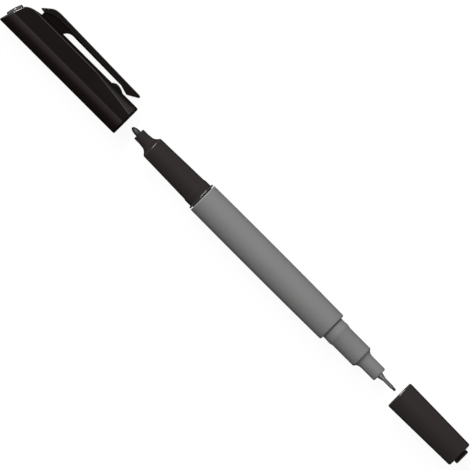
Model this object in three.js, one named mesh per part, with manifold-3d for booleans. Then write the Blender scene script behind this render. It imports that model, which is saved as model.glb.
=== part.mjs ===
// Twin-tip permanent marker: a bullet nib at one end, a needle-fine nib at the other, each with
// its own cap, both caps drawn off along the marker's axis. Millimetres, +Z up.
//
// Every piece is made about its own X axis. In the marker's own frame x = 0 is the barrel's end
// at the bullet side, the bullet nib points to -X, the fine nib to +X and the pocket clip to +Z.
// The finished marker lies on the ground on its bullet cap and on one edge of the clip.

import Module from "manifold-3d";
import * as THREE from "three";
import { mergeVertices } from "three/addons/utils/BufferGeometryUtils.js";

// Barrel
const barrelLength = 57.2;
const barrelRadius = 5.3;
const barrelCrestAt = 24.6;
const barrelBulletDrop = 0.08;
const barrelFineDrop = 0.17;
const barrelWall = 0.88;
const barrelBulletEdge = 0.25;
const barrelFineEdge = 0.6;

// Bullet section, the black holder: lengths are measured out from the barrel's end
const flangeThickness = 0.68;
const flangeDrop = 0.17;
const flangeEdge = 0.3;
const snapCollarRadius = 4.45;
const snapCollarLength = 2.84;
const snapCollarRamp = 0.5;
const bulletBodyLength = 17.83;
const bulletBodyRootRadius = 4.26;
const bulletBodyTipRadius = 3.82;
const bulletFlareLength = 3.2;
const bulletNozzleLength = 3.4;
const bulletNozzleRootRadius = 2.15;
const bulletNozzleRadius = 2.02;
const bulletNozzleEdge = 0.3;
const bulletSpigotLength = 8;
const bulletSectionWall = 1.2;

// Bullet nib
const bulletNibRadius = 1.01;
const bulletNibTaper = 2.5;
const bulletNibShown = 2.86;
const nibDepthInReservoir = 5;

// Fine section, the grey holder: lengths are measured out from the barrel's other end
const fineCollarLength = 1.4;
const fineCollarRadius = 4.0;
const snapBeadLength = 2.6;
const snapBeadRadius = 4.1;
const fineBodyLength = 8.95;
const fineBodyRadius = 3.83;
const fineShoulderLength = 2.7;
const fineShoulderEdge = 0.35;
const fineNozzleLength = 5.4;
const fineNozzleRadius = 2.52;
const fineNozzleEdge = 0.55;
const fineSpigotLength = 8;
const fineSectionWall = 1.2;

// Needle sleeve and the fine nib inside it
const needleConeLength = 2.05;
const needleShankRadius = 1.12;
const needleShankLength = 5;
const needleTubeLength = 3.45;
const needleTubeRadius = 0.56;
const needleWall = 0.12;
const fineNibRadius = 0.34;
const fineNibShown = 1.34;
const feedRodRadius = 0.75;
const nibHolderLength = 6;

// Ink reservoir
const reservoirRadius = 3.1;
const filmThickness = 0.2;

// Bullet cap: places along it are measured from its mouth or from its closed end, as named
const bulletCapLength = 50.3;
const bulletCapWall = 0.78;
const bulletCapMouthEdge = 0.7;
const bulletCapEndEdge = 0.5;
const bulletCapEndWall = 2.1;
const endSlant = 3.55;
const crownRun = 7.9;
const coreConeRun = 4.2;
const coreEndRadius = 2.9;
const panelLowerDegrees = -5.3;
const panelUpperDegrees = 48.8;
const panelMouthDegrees = 22;
const panelSweepLength = 19;

// Pocket clip, moulded with the bullet cap: rises are measured from the cap's round surface
const clipWidth = 4.0;
const clipRibWidth = 2.6;
const clipEdge = 0.2;
const clipBandThickness = 1.55;
const clipCrestRise = 4.03;
const clipTipRise = 3.32;
const clipCrestFromEnd = 12.76;
const clipTailFromEnd = 6.86;
const clipTailRise = 0.56;
const clipTailLift = 1.05;
const clipRootFromEnd = 8.36;
const clipRootLength = 9.0;
const clipFingerGap = 1.68;
const clipGapCurve = 2.7;
const clipTipFromMouth = 2.0;
const clipTipRound = 0.8;
const clipHookFromMouth = 5.75;
const clipHookGap = 0.5;
const clipHookSlope = 2.9;
const gripBumpHeight = 0.9;
const gripBumpLength = 4.8;
const gripBumpWidth = 3.0;
const gripBumpSpacing = 1.1;

// Plug in the bullet cap's slanted end
const bulletPlugRadius = 2.92;
const bulletPlugRim = 0.65;
const bulletPlugDome = 0.5;
const bulletPlugRecess = 0.4;
const bulletPlugSpigotRadius = 1.5;

// Fine cap
const fineCapLength = 26.7;
const fineCapWall = 0.71;
const fineCapDraft = 0.46;
const fineCapBoreDraft = 0.25;
const fineCapMouthEdge = 0.6;
const fineCapEndEdge = 0.35;
const fineCapEndWall = 1.1;
const fineCapStandoff = 1.46;
const finePlugRadius = 2.55;
const finePlugHeight = 1.27;
const finePlugEdge = 0.37;
const finePlugSpigotRadius = 2.0;
const finePlugSpigotLength = 1.9;

// Seals inside the caps
const sealWall = 0.7;
const sealStemRadius = 1.4;
const sealFloor = 0.9;
const sealFins = 4;
const sealFinThickness = 0.6;
const needleTunnelGap = 0.25;
const nibTipRoom = 0.8;

// How far each cap lies from the place where it is shut
const bulletCapAside = 32.7;
const fineCapAside = 28.0;

// Clearances
const fitGap = 0.2;
const seamGap = 0.1;
const capClearance = 0.15;

// Facets
const roundSides = 40;
const innerSides = 24;
const curveSteps = 5;

// Sizes that follow from the ones above
const barrelFineRadius = barrelRadius - barrelFineDrop;
const barrelBulletRadius = barrelRadius - barrelBulletDrop;
const barrelBore = barrelFineRadius - barrelWall;
const spigotRadius = barrelBore - fitGap;
const filmRadius = reservoirRadius + fitGap + filmThickness;
const reservoirSeat = filmRadius + fitGap;
const reservoirInset = 1.2;
const reservoirLength = barrelLength - 2 * reservoirInset;

const bulletBodyRoot = flangeThickness + snapCollarLength;
const bulletBodyTip = bulletBodyRoot + bulletBodyLength;
const bulletFlareTip = bulletBodyTip + bulletFlareLength;
const bulletNozzleFace = bulletFlareTip + bulletNozzleLength;
const bulletTip = bulletNozzleFace + bulletNibShown;

const snapBeadEnd = fineCollarLength + snapBeadLength;
const fineBodyEnd = snapBeadEnd + fineBodyLength;
const fineShoulderEnd = fineBodyEnd + fineShoulderLength;
const fineNozzleFace = fineShoulderEnd + fineNozzleLength - seamGap;
const needleConeTip = fineNozzleFace + needleConeLength;
const needleTip = needleConeTip + needleTubeLength;
const fineTip = needleTip + fineNibShown;
const needleBore = needleTubeRadius - needleWall;

const bulletCapMouthBore = snapCollarRadius + capClearance;
const bulletCapRadius = bulletCapMouthBore + bulletCapWall;
const bulletCapBore = bulletBodyRootRadius + capClearance;
const bulletMouthBoreDepth = snapCollarLength + 0.5;
const bulletCapShutAt = -(flangeThickness + seamGap);

const fineCapMouthBore = snapBeadRadius + capClearance;
const fineCapMouthRadius = fineCapMouthBore + fineCapWall;
const fineCapEndRadius = fineCapMouthRadius - fineCapDraft;
const fineCapBore = fineBodyRadius + capClearance;
const fineMouthBoreDepth = snapBeadEnd + capClearance - fineCapStandoff;
const fineCapShutAt = barrelLength + fineCapStandoff;

const wasm = await Module();
wasm.setup();

// Solid of revolution about X. The path runs in x and radius: outside towards +X, bore back.
function turned(path, sides = roundSides) {
  const outline = path.getPoints(curveSteps).map((p) => new THREE.Vector2(p.y, p.x));
  return new THREE.LatheGeometry(outline, sides).rotateZ(-Math.PI / 2);
}

// The same, mirrored end for end: the path runs in the distance towards -X instead.
function turnedBackwards(path, sides = roundSides) {
  const outline = path.getPoints(curveSteps).map((p) => new THREE.Vector2(p.y, -p.x));
  return new THREE.LatheGeometry(outline.reverse(), sides).rotateZ(-Math.PI / 2);
}

// A side view in x and z, given a width along Y with rounded edges.
function slab(shape, width, edge) {
  const depth = width - 2 * edge;
  const geometry = new THREE.ExtrudeGeometry(shape, {
    depth,
    curveSegments: curveSteps,
    bevelThickness: edge,
    bevelSize: edge,
    bevelOffset: -edge,
    bevelSegments: 2,
  });
  return geometry.translate(0, 0, -depth / 2).rotateX(Math.PI / 2);
}

// A closed skin over rings that all have the same number of points, from the first to the last.
function loft(rings) {
  const count = rings[0].length;
  const centre = (ring) => {
    const sum = new THREE.Vector3();
    ring.forEach((point) => sum.add(point));
    return sum.divideScalar(count);
  };
  const points = [...rings.flat(), centre(rings[0]), centre(rings.at(-1))];
  const first = points.length - 2;
  const last = points.length - 1;
  const lastRing = (rings.length - 1) * count;
  const faces = [];
  for (let i = 0; i < count; i += 1) {
    const next = (i + 1) % count;
    for (let row = 0; row < lastRing; row += count) {
      faces.push(row + i, row + next, row + count + next);
      faces.push(row + i, row + count + next, row + count + i);
    }
    faces.push(first, next, i);
    faces.push(last, lastRing + i, lastRing + next);
  }
  return new THREE.BufferGeometry().setFromPoints(points).setIndex(faces);
}

function toSolid(geometry) {
  const bare = geometry.clone();
  bare.deleteAttribute("normal");
  bare.deleteAttribute("uv");
  const merged = mergeVertices(bare, 1e-4);
  const index = merged.index.array;
  const kept = [];
  for (let i = 0; i < index.length; i += 3) {
    const [a, b, c] = index.slice(i, i + 3);
    if (a !== b && b !== c && c !== a) {
      kept.push(a, b, c);
    }
  }
  const vertProperties = new Float32Array(merged.attributes.position.array);
  const mesh = new wasm.Mesh({ numProp: 3, vertProperties, triVerts: new Uint32Array(kept) });
  return new wasm.Manifold(mesh);
}

function toGeometry(solid) {
  const mesh = solid.getMesh();
  const geometry = new THREE.BufferGeometry();
  geometry.setAttribute("position", new THREE.BufferAttribute(mesh.vertProperties, 3));
  geometry.setIndex(new THREE.BufferAttribute(mesh.triVerts, 1));
  geometry.computeVertexNormals();
  return geometry;
}

// Barrel: a tube whose outside swells gently to a crest, with a soft edge at the fine end.
function barrelShape() {
  const outside = new THREE.Path();
  outside.moveTo(0, barrelBore);
  outside.lineTo(0, barrelBulletRadius - barrelBulletEdge);
  outside.lineTo(barrelBulletEdge, barrelBulletRadius);
  outside.quadraticCurveTo(barrelCrestAt / 2, barrelRadius, barrelCrestAt, barrelRadius);
  const fineEdgeAt = barrelLength - barrelFineEdge;
  const bendAt = (barrelCrestAt + fineEdgeAt) / 2;
  outside.quadraticCurveTo(bendAt, barrelRadius, fineEdgeAt, barrelFineRadius);
  const edgeRadius = barrelFineRadius - barrelFineEdge;
  outside.quadraticCurveTo(barrelLength, barrelFineRadius, barrelLength, edgeRadius);
  outside.lineTo(barrelLength, barrelBore);
  outside.closePath();
  return turned(outside);
}

// Bullet section: flange, snap collar, tapered body, flare and nozzle, with a spigot in the barrel.
function bulletSectionShape() {
  const flangeRadius = barrelBulletRadius - flangeDrop;
  const collarRise = flangeThickness + snapCollarLength - snapCollarRamp;
  const chamber = bulletBodyTipRadius - bulletSectionWall;
  const path = new THREE.Path();
  path.moveTo(-bulletSpigotLength, reservoirSeat);
  path.lineTo(-bulletSpigotLength, spigotRadius);
  path.lineTo(seamGap, spigotRadius);
  path.lineTo(seamGap, flangeRadius);
  path.lineTo(flangeThickness - flangeEdge, flangeRadius);
  const edgeRadius = flangeRadius - 2 * flangeEdge;
  path.quadraticCurveTo(flangeThickness, flangeRadius, flangeThickness, edgeRadius);
  path.lineTo(flangeThickness, snapCollarRadius);
  path.lineTo(collarRise, snapCollarRadius);
  path.lineTo(bulletBodyRoot, bulletBodyRootRadius);
  path.lineTo(bulletBodyTip, bulletBodyTipRadius);
  const flareRoot = bulletBodyTip + 0.16 * bulletFlareLength;
  const flareBend = bulletBodyTip + 0.55 * bulletFlareLength;
  path.lineTo(flareRoot, bulletBodyTipRadius - 0.15);
  path.quadraticCurveTo(
    flareBend, bulletNozzleRootRadius, bulletFlareTip, bulletNozzleRootRadius,
  );
  path.lineTo(bulletFlareTip + 0.3 * bulletNozzleLength, bulletNozzleRadius);
  path.lineTo(bulletNozzleFace - bulletNozzleEdge, bulletNozzleRadius);
  const nozzleFaceRadius = bulletNozzleRadius - bulletNozzleEdge;
  path.quadraticCurveTo(
    bulletNozzleFace, bulletNozzleRadius, bulletNozzleFace, nozzleFaceRadius,
  );
  path.lineTo(bulletNozzleFace, bulletNibRadius + fitGap);
  path.lineTo(bulletBodyTip, bulletNibRadius + fitGap);
  path.lineTo(bulletBodyTip - 1, chamber);
  path.lineTo(flangeThickness, chamber);
  path.lineTo(flangeThickness, reservoirSeat);
  path.closePath();
  return turnedBackwards(path);
}

// Bullet nib: a rounded fibre tip on a long stem that runs into the reservoir.
function bulletNibShape() {
  const path = new THREE.Path();
  path.moveTo(-(reservoirInset + nibDepthInReservoir), 0);
  path.lineTo(-(reservoirInset + nibDepthInReservoir), bulletNibRadius);
  const shoulder = bulletTip - bulletNibTaper;
  path.lineTo(shoulder, bulletNibRadius);
  path.absellipse(shoulder, 0, bulletNibTaper, bulletNibRadius, Math.PI / 2, 0, true);
  return turnedBackwards(path, innerSides);
}

// Fine section: collar, snap bead, body, filleted shoulder and nozzle.
function fineSectionShape() {
  const chamber = fineBodyRadius - fineSectionWall;
  const needleHole = needleShankRadius + fitGap;
  const path = new THREE.Path();
  path.moveTo(-fineSpigotLength, reservoirSeat);
  path.lineTo(-fineSpigotLength, spigotRadius);
  path.lineTo(seamGap, spigotRadius);
  path.lineTo(seamGap, fineCollarRadius);
  path.lineTo(fineCollarLength, fineCollarRadius);
  const beadTop = fineCollarLength + 0.45 * snapBeadLength;
  const beadBend = fineCollarLength + 0.7 * snapBeadLength;
  path.lineTo(beadTop, snapBeadRadius);
  path.quadraticCurveTo(beadBend, snapBeadRadius, snapBeadEnd, fineBodyRadius);
  path.lineTo(fineBodyEnd, fineBodyRadius);
  const shoulderTop = fineBodyEnd + fineShoulderEdge;
  const shoulderBend = fineBodyEnd + 0.3 * fineShoulderLength;
  path.lineTo(shoulderTop, fineBodyRadius - fineShoulderEdge);
  path.quadraticCurveTo(shoulderBend, fineNozzleRadius, fineShoulderEnd, fineNozzleRadius);
  path.lineTo(fineNozzleFace - fineNozzleEdge, fineNozzleRadius);
  const faceRadius = fineNozzleRadius - fineNozzleEdge;
  path.quadraticCurveTo(fineNozzleFace, fineNozzleRadius, fineNozzleFace, faceRadius);
  path.lineTo(fineNozzleFace, needleHole);
  path.lineTo(fineNozzleFace - needleShankLength - fitGap, needleHole);
  path.lineTo(fineNozzleFace - needleShankLength - fitGap, feedRodRadius + fitGap);
  path.lineTo(fineShoulderEnd - fineNozzleEdge, feedRodRadius + fitGap);
  path.lineTo(fineBodyEnd - 0.5, chamber);
  path.lineTo(0, chamber);
  path.lineTo(0, reservoirSeat);
  path.closePath();
  return turned(path);
}

// Needle sleeve: a shank in the nozzle, a cone and the thin tube that guards the nib.
function needleSleeveShape() {
  const shankEnd = fineNozzleFace - needleShankLength;
  const path = new THREE.Path();
  path.moveTo(shankEnd, needleBore);
  path.lineTo(shankEnd, needleShankRadius);
  path.lineTo(fineNozzleFace, needleShankRadius);
  path.lineTo(needleConeTip, needleTubeRadius);
  path.lineTo(needleTip - needleWall, needleTubeRadius);
  path.lineTo(needleTip, needleTubeRadius - needleWall / 2);
  path.lineTo(needleTip, needleBore);
  path.closePath();
  return turned(path, innerSides);
}

// Fine nib: the thin point in the sleeve, widening behind it to the rod that draws the ink.
function fineNibShape() {
  const rodTip = fineNozzleFace - needleShankLength - fitGap;
  const path = new THREE.Path();
  path.moveTo(-(reservoirInset + nibDepthInReservoir), 0);
  path.lineTo(-(reservoirInset + nibDepthInReservoir), feedRodRadius);
  path.lineTo(rodTip, feedRodRadius);
  path.lineTo(rodTip, fineNibRadius);
  path.lineTo(fineTip - fineNibRadius, fineNibRadius);
  path.quadraticCurveTo(fineTip, fineNibRadius, fineTip, 0);
  return turned(path, innerSides);
}

// Nib holder: a collar inside the fine section that keeps the rod on the axis.
function fineNibHolderShape() {
  const end = fineBodyEnd - 1;
  const outer = fineBodyRadius - fineSectionWall - fitGap;
  const path = new THREE.Path();
  path.moveTo(end - nibHolderLength, feedRodRadius + fitGap);
  path.lineTo(end - nibHolderLength, outer);
  path.lineTo(end, outer);
  path.lineTo(end, feedRodRadius + fitGap);
  path.closePath();
  return turned(path, innerSides);
}

// Reservoir: a fibre rod with a socket for each nib's stem.
function reservoirShape() {
  const bulletSocket = bulletNibRadius + fitGap;
  const fineSocket = feedRodRadius + fitGap;
  const depth = nibDepthInReservoir + fitGap;
  const path = new THREE.Path();
  path.moveTo(depth, 0);
  path.lineTo(depth, bulletSocket);
  path.lineTo(0, bulletSocket);
  path.lineTo(0, reservoirRadius);
  path.lineTo(reservoirLength, reservoirRadius);
  path.lineTo(reservoirLength, fineSocket);
  path.lineTo(reservoirLength - depth, fineSocket);
  path.lineTo(reservoirLength - depth, 0);
  return turned(path, innerSides);
}

// Film: the clear sleeve round the fibre rod, a little shorter than it.
function filmShape() {
  const path = new THREE.Path();
  path.moveTo(fitGap, filmRadius - filmThickness);
  path.lineTo(fitGap, filmRadius);
  path.lineTo(reservoirLength - fitGap, filmRadius);
  path.lineTo(reservoirLength - fitGap, filmRadius - filmThickness);
  path.closePath();
  return turned(path, innerSides);
}

// How far the bullet cap's end face stands back from its tip, at height z: a lean, then a crown.
function endSetback(z) {
  const share = (z + bulletCapRadius) / (2 * bulletCapRadius);
  return endSlant * share ** 1.1 + crownRun * share ** 13;
}

// The cap's section: round, with one flat panel on each side of the clip.
function capSection(radius, upperDegrees) {
  const corners = [
    [panelLowerDegrees, upperDegrees, 2],
    [upperDegrees, 180 - upperDegrees, 12],
    [180 - upperDegrees, 180 - panelLowerDegrees, 2],
    [180 - panelLowerDegrees, 360 + panelLowerDegrees, 20],
  ];
  const at = (degrees) => {
    const angle = THREE.MathUtils.degToRad(degrees);
    return new THREE.Vector2(radius * Math.cos(angle), radius * Math.sin(angle));
  };
  return corners.flatMap(([from, to, steps], side) => {
    const straight = side % 2 === 0;
    return Array.from({ length: steps }, (_, i) => {
      const share = i / steps;
      return straight
        ? at(from).lerp(at(to), share)
        : at(THREE.MathUtils.lerp(from, to, share));
    });
  });
}

function capRing(radius, upperDegrees, place) {
  return capSection(radius, upperDegrees).map((p) => new THREE.Vector3(place(p.y), p.x, p.y));
}

// Outer form of the bullet cap: slanted end, crown, body with panels that fade at the mouth.
function bulletCapBody() {
  const rings = [];
  for (const share of [0.3, 0.55, 0.8]) {
    const onEnd = (z) => -bulletCapLength + endSetback(z);
    rings.push(capRing(share * (bulletCapRadius - bulletCapEndEdge), panelUpperDegrees, onEnd));
  }
  for (let step = 0; step <= 3; step += 1) {
    const turn = (step / 3) * (Math.PI / 2);
    const radius = bulletCapRadius - bulletCapEndEdge * (1 - Math.sin(turn));
    const inset = bulletCapEndEdge * (1 - Math.cos(turn));
    const onRim = (z) => -bulletCapLength + endSetback(z) + inset;
    rings.push(capRing(radius, panelUpperDegrees, onRim));
  }
  const sweepSteps = 6;
  const sweepEnd = panelSweepLength - bulletCapMouthEdge;
  for (let step = 0; step <= sweepSteps; step += 1) {
    const share = 1 - step / sweepSteps;
    const x = -bulletCapMouthEdge - share * sweepEnd;
    const degrees = THREE.MathUtils.lerp(panelMouthDegrees, panelUpperDegrees, share);
    rings.push(capRing(bulletCapRadius, degrees, () => x));
  }
  for (let step = 1; step <= 3; step += 1) {
    const turn = (step / 3) * (Math.PI / 2);
    const x = -bulletCapMouthEdge * (1 - Math.sin(turn));
    const radius = bulletCapRadius - 0.5 * bulletCapMouthEdge * (1 - Math.cos(turn));
    rings.push(capRing(radius, panelMouthDegrees, () => x));
  }
  return loft(rings);
}

const clipCrest = bulletCapRadius + clipCrestRise;
const clipTip = bulletCapRadius + clipTipRise;
const clipUnderside = bulletCapRadius + clipFingerGap;
const insideWall = bulletCapRadius - 0.8 * bulletCapWall;

// Side view of the clip's band: tail, sloping back, crest, long run to the tip and the hook.
function clipBandOutline() {
  const tail = -bulletCapLength + clipTailFromEnd;
  const root = -bulletCapLength + clipRootFromEnd;
  const crest = -bulletCapLength + clipCrestFromEnd;
  const tailHeight = bulletCapRadius + clipTailRise;
  const hook = -clipHookFromMouth;
  const hookHeight = bulletCapRadius + clipHookGap;
  const slope = (clipCrest - clipTip) / (-clipTipFromMouth - crest);
  const run = hook - 2 * clipHookSlope;
  const runHeight = clipCrest - slope * (run - crest) - clipBandThickness;
  const shape = new THREE.Shape();
  shape.moveTo(tail, tailHeight + 0.2);
  shape.lineTo(tail + 0.15, tailHeight + 0.65);
  shape.lineTo(crest - 3.4, clipCrest - 0.85);
  shape.quadraticCurveTo(crest - 2.4, clipCrest - 0.05, crest, clipCrest);
  const tip = -clipTipFromMouth;
  shape.lineTo(tip - clipTipRound, clipTip + slope * clipTipRound);
  shape.quadraticCurveTo(tip, clipTip, tip - clipTipRound / 3, clipTip - clipTipRound);
  shape.lineTo(hook + 0.35, hookHeight + 0.1);
  shape.quadraticCurveTo(hook, hookHeight - 0.08, hook - 0.6, hookHeight + 0.12);
  shape.lineTo(hook - clipHookSlope, hookHeight + 0.8);
  shape.quadraticCurveTo(hook - 1.5 * clipHookSlope, runHeight - 0.05, run, runHeight);
  shape.lineTo(crest + 0.8, clipCrest - clipBandThickness);
  shape.quadraticCurveTo(crest - 2.2, clipCrest - clipBandThickness, root, tailHeight);
  shape.closePath();
  return shape;
}

// Side view of the narrower rib under the band, with the pedestal that joins it to the cap.
function clipRibOutline() {
  const root = -bulletCapLength + clipRootFromEnd;
  const rootEnd = root + clipRootLength;
  const crest = -bulletCapLength + clipCrestFromEnd;
  const middle = clipBandThickness / 2;
  const shape = new THREE.Shape();
  shape.moveTo(root, insideWall);
  shape.lineTo(root, bulletCapRadius + clipTailRise + clipTailLift / 2);
  shape.lineTo(crest - 1, clipCrest - middle - 0.3);
  shape.lineTo(-clipHookFromMouth, clipTip - middle - 0.3);
  shape.lineTo(-clipHookFromMouth - clipHookSlope, clipUnderside - clipTailLift / 4);
  shape.lineTo(rootEnd + clipGapCurve, clipUnderside);
  shape.quadraticCurveTo(rootEnd + clipGapCurve / 3, clipUnderside, rootEnd, bulletCapRadius);
  shape.lineTo(rootEnd, insideWall);
  shape.closePath();
  return shape;
}

// Side view of the bump on the cap that the clip's hook rides over.
function gripBumpOutline() {
  const near = -clipHookFromMouth - gripBumpSpacing;
  const far = near - gripBumpLength;
  const top = bulletCapRadius + gripBumpHeight;
  const shape = new THREE.Shape();
  shape.moveTo(far, insideWall);
  shape.lineTo(far, bulletCapRadius);
  shape.quadraticCurveTo(far + 0.2 * gripBumpLength, top, far + 0.4 * gripBumpLength, top);
  shape.quadraticCurveTo(far + 0.7 * gripBumpLength, top, near, bulletCapRadius);
  shape.lineTo(near, insideWall);
  shape.closePath();
  return shape;
}

// The tilt of the end face at its middle, and the place where the plug's axis crosses it.
const plugLean = Math.atan((endSetback(0.1) - endSetback(-0.1)) / 0.2);
const plugAt = -bulletCapLength + endSetback(0);

function onPlugAxis(geometry) {
  return geometry.rotateY(plugLean).translate(plugAt, 0, 0);
}

const coreDepth = bulletCapLength - endSetback(0) - bulletCapEndWall;
const plugSpigotReach = bulletCapEndWall * Math.cos(plugLean)
  + bulletPlugSpigotRadius * Math.sin(plugLean);

// What is cored out of the bullet cap: mouth, bore and the cone behind the crown.
function bulletCapCore() {
  const path = new THREE.Path();
  path.moveTo(-coreDepth, 0);
  path.lineTo(-coreDepth, coreEndRadius);
  path.lineTo(-coreDepth + coreConeRun, bulletCapBore);
  path.lineTo(-bulletMouthBoreDepth, bulletCapBore);
  path.lineTo(-bulletMouthBoreDepth + capClearance, bulletCapMouthBore);
  path.lineTo(1, bulletCapMouthBore);
  path.lineTo(1, 0);
  return turned(path);
}

function bulletPlugSocket() {
  const seat = bulletPlugRadius + fitGap;
  const hole = bulletPlugSpigotRadius + fitGap;
  const path = new THREE.Path();
  path.moveTo(-4, 0);
  path.lineTo(-4, seat);
  path.lineTo(bulletPlugRecess, seat);
  path.lineTo(bulletPlugRecess, hole);
  path.lineTo(bulletCapEndWall + 1, hole);
  path.lineTo(bulletCapEndWall + 1, 0);
  return onPlugAxis(turned(path, innerSides));
}

// Bullet cap: body, clip and bump in one moulding.
function bulletCapShape() {
  const body = toSolid(bulletCapBody());
  const band = toSolid(slab(clipBandOutline(), clipWidth, clipEdge));
  const rib = toSolid(slab(clipRibOutline(), clipRibWidth, clipEdge / 2));
  const bump = toSolid(slab(gripBumpOutline(), gripBumpWidth, clipEdge));
  const joined = body.add(rib).add(band).add(bump);
  const cored = joined.subtract(toSolid(bulletCapCore()));
  return toGeometry(cored.subtract(toSolid(bulletPlugSocket())));
}

// Plug of the bullet cap: a domed button with a spigot through the end wall.
function bulletPlugShape() {
  const foot = bulletPlugRecess - fitGap;
  const rimTop = foot - bulletPlugRim;
  const path = new THREE.Path();
  path.moveTo(rimTop - bulletPlugDome, 0);
  path.quadraticCurveTo(rimTop - bulletPlugDome, 0.7 * bulletPlugRadius, rimTop, bulletPlugRadius);
  path.lineTo(foot, bulletPlugRadius);
  path.lineTo(foot, bulletPlugSpigotRadius);
  path.lineTo(bulletCapEndWall, bulletPlugSpigotRadius);
  path.lineTo(bulletCapEndWall, 0);
  return onPlugAxis(turned(path, innerSides));
}

// Fins that keep a seal on the axis of its cap and let air past.
function withFins(geometry, from, to, radius, inner) {
  const fin = new THREE.Shape();
  fin.moveTo(from, inner);
  fin.lineTo(from, radius);
  fin.lineTo(to - 1, radius);
  fin.lineTo(to, inner);
  fin.closePath();
  const plate = slab(fin, sealFinThickness, sealFinThickness / 8);
  let solid = toSolid(geometry);
  for (let i = 0; i < sealFins; i += 1) {
    const turn = ((i + 0.5) / sealFins) * 2 * Math.PI;
    solid = solid.add(toSolid(plate.clone().rotateX(turn)));
  }
  return toGeometry(solid);
}

// Seal of the bullet cap: a cup round the shut nozzle, on a finned stem from the end wall.
function bulletSealShape() {
  const bore = bulletNozzleRootRadius + capClearance;
  const outer = bore + sealWall;
  const mouth = -(bulletFlareTip + bulletCapShutAt) - fitGap;
  const floor = -(bulletTip + bulletCapShutAt) - nibTipRoom;
  const back = floor - sealFloor;
  const stemEnd = plugAt + plugSpigotReach + fitGap;
  const path = new THREE.Path();
  path.moveTo(stemEnd, 0);
  path.lineTo(stemEnd, sealStemRadius);
  path.lineTo(back, sealStemRadius);
  path.lineTo(back, outer);
  path.lineTo(mouth, outer);
  path.lineTo(mouth, bore);
  path.lineTo(floor, bore);
  path.lineTo(floor, 0);
  const finFrom = -coreDepth + coreConeRun;
  const finRadius = bulletCapBore - fitGap;
  const finInner = sealStemRadius - sealFinThickness;
  const cup = turned(path, innerSides);
  return withFins(cup, finFrom, back + sealFloor / 2, finRadius, finInner);
}

// Fine cap: a tapered tube with a stepped mouth and a holed end wall.
function fineCapShape() {
  const hole = finePlugSpigotRadius + fitGap;
  const endFaceRadius = fineCapEndRadius - fineCapEndEdge;
  const mouthFaceRadius = fineCapMouthRadius - fineCapMouthEdge / 2;
  const coreEnd = fineCapLength - fineCapEndWall;
  const path = new THREE.Path();
  path.moveTo(0, fineCapMouthBore);
  path.lineTo(0, mouthFaceRadius);
  path.quadraticCurveTo(0, fineCapMouthRadius, fineCapMouthEdge, fineCapMouthRadius);
  path.lineTo(fineCapLength - fineCapEndEdge, fineCapEndRadius);
  path.quadraticCurveTo(fineCapLength, fineCapEndRadius, fineCapLength, endFaceRadius);
  path.lineTo(fineCapLength, hole);
  path.lineTo(coreEnd, hole);
  path.lineTo(coreEnd, fineCapBore - fineCapBoreDraft);
  path.lineTo(fineBodyEnd - fineCapStandoff, fineCapBore);
  path.lineTo(fineMouthBoreDepth, fineCapBore);
  path.lineTo(fineMouthBoreDepth - capClearance, fineCapMouthBore);
  path.closePath();
  return turned(path);
}

// Plug of the fine cap: stands proud of the end and is hollow, to take the shut nib's point.
function finePlugShape() {
  const foot = fineCapLength + seamGap;
  const top = fineCapLength + finePlugHeight;
  const spigotEnd = foot - finePlugSpigotLength;
  const blindEnd = fineTip - fineCapStandoff + nibTipRoom / 2;
  const path = new THREE.Path();
  path.moveTo(blindEnd, 0);
  path.lineTo(blindEnd, feedRodRadius);
  path.lineTo(spigotEnd, feedRodRadius);
  path.lineTo(spigotEnd, finePlugSpigotRadius);
  path.lineTo(foot, finePlugSpigotRadius);
  path.lineTo(foot, finePlugRadius);
  path.lineTo(top - finePlugEdge, finePlugRadius);
  path.quadraticCurveTo(top, finePlugRadius, top, finePlugRadius - finePlugEdge);
  path.lineTo(top, 0);
  return turned(path, innerSides);
}

// Seal of the fine cap: a sleeve round the shut nozzle that narrows round the needle.
function fineSealShape() {
  const bore = fineNozzleRadius + capClearance;
  const outer = bore + sealWall;
  const tunnel = needleShankRadius + needleTunnelGap;
  const mouth = fineShoulderEnd - fineCapStandoff + nibTipRoom;
  const step = fineNozzleFace - fineCapStandoff + nibTipRoom;
  const end = fineCapLength + seamGap - finePlugSpigotLength - fitGap;
  const neck = tunnel + sealWall;
  const path = new THREE.Path();
  path.moveTo(mouth, bore);
  path.lineTo(mouth, outer);
  path.lineTo(step + sealFloor, outer);
  path.lineTo(step + sealFloor, neck);
  path.lineTo(end, neck);
  path.lineTo(end, tunnel);
  path.lineTo(step, tunnel);
  path.lineTo(step, bore);
  path.closePath();
  const finRadius = fineCapBore - fineCapBoreDraft - fitGap;
  const sleeve = turned(path, innerSides);
  return withFins(sleeve, step, end, finRadius, tunnel + sealWall / 2);
}

const greyMoulding = { color: 0x7f7f7f, roughness: 0.45, metalness: 0 };
const blackMoulding = { color: 0x262322, roughness: 0.5, metalness: 0 };
const blackGloss = { color: 0x3a3a3a, roughness: 0.15, metalness: 0 };
const blackFibre = { color: 0x2b2b2b, roughness: 0.9, metalness: 0 };
const steel = { color: 0x8e8e8e, roughness: 0.3, metalness: 1 };
const sealMoulding = { color: 0xd8d8d4, roughness: 0.5, metalness: 0 };
const clearFilm = { color: 0xe6e6e6, roughness: 0.2, metalness: 0 };

function piece(name, geometry, finish, x = 0) {
  const mesh = new THREE.Mesh(geometry, new THREE.MeshStandardMaterial(finish));
  mesh.name = name;
  mesh.position.x = x;
  return mesh;
}

// The angle below level at which the clip points when the marker lies on it and on its cap.
function lieAngle() {
  const side = clipWidth / 2 - clipEdge;
  const up = clipCrest - clipEdge;
  const reach = Math.hypot(side, up);
  return Math.asin((bulletCapRadius - clipEdge) / reach) - Math.atan(side / up);
}

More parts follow.
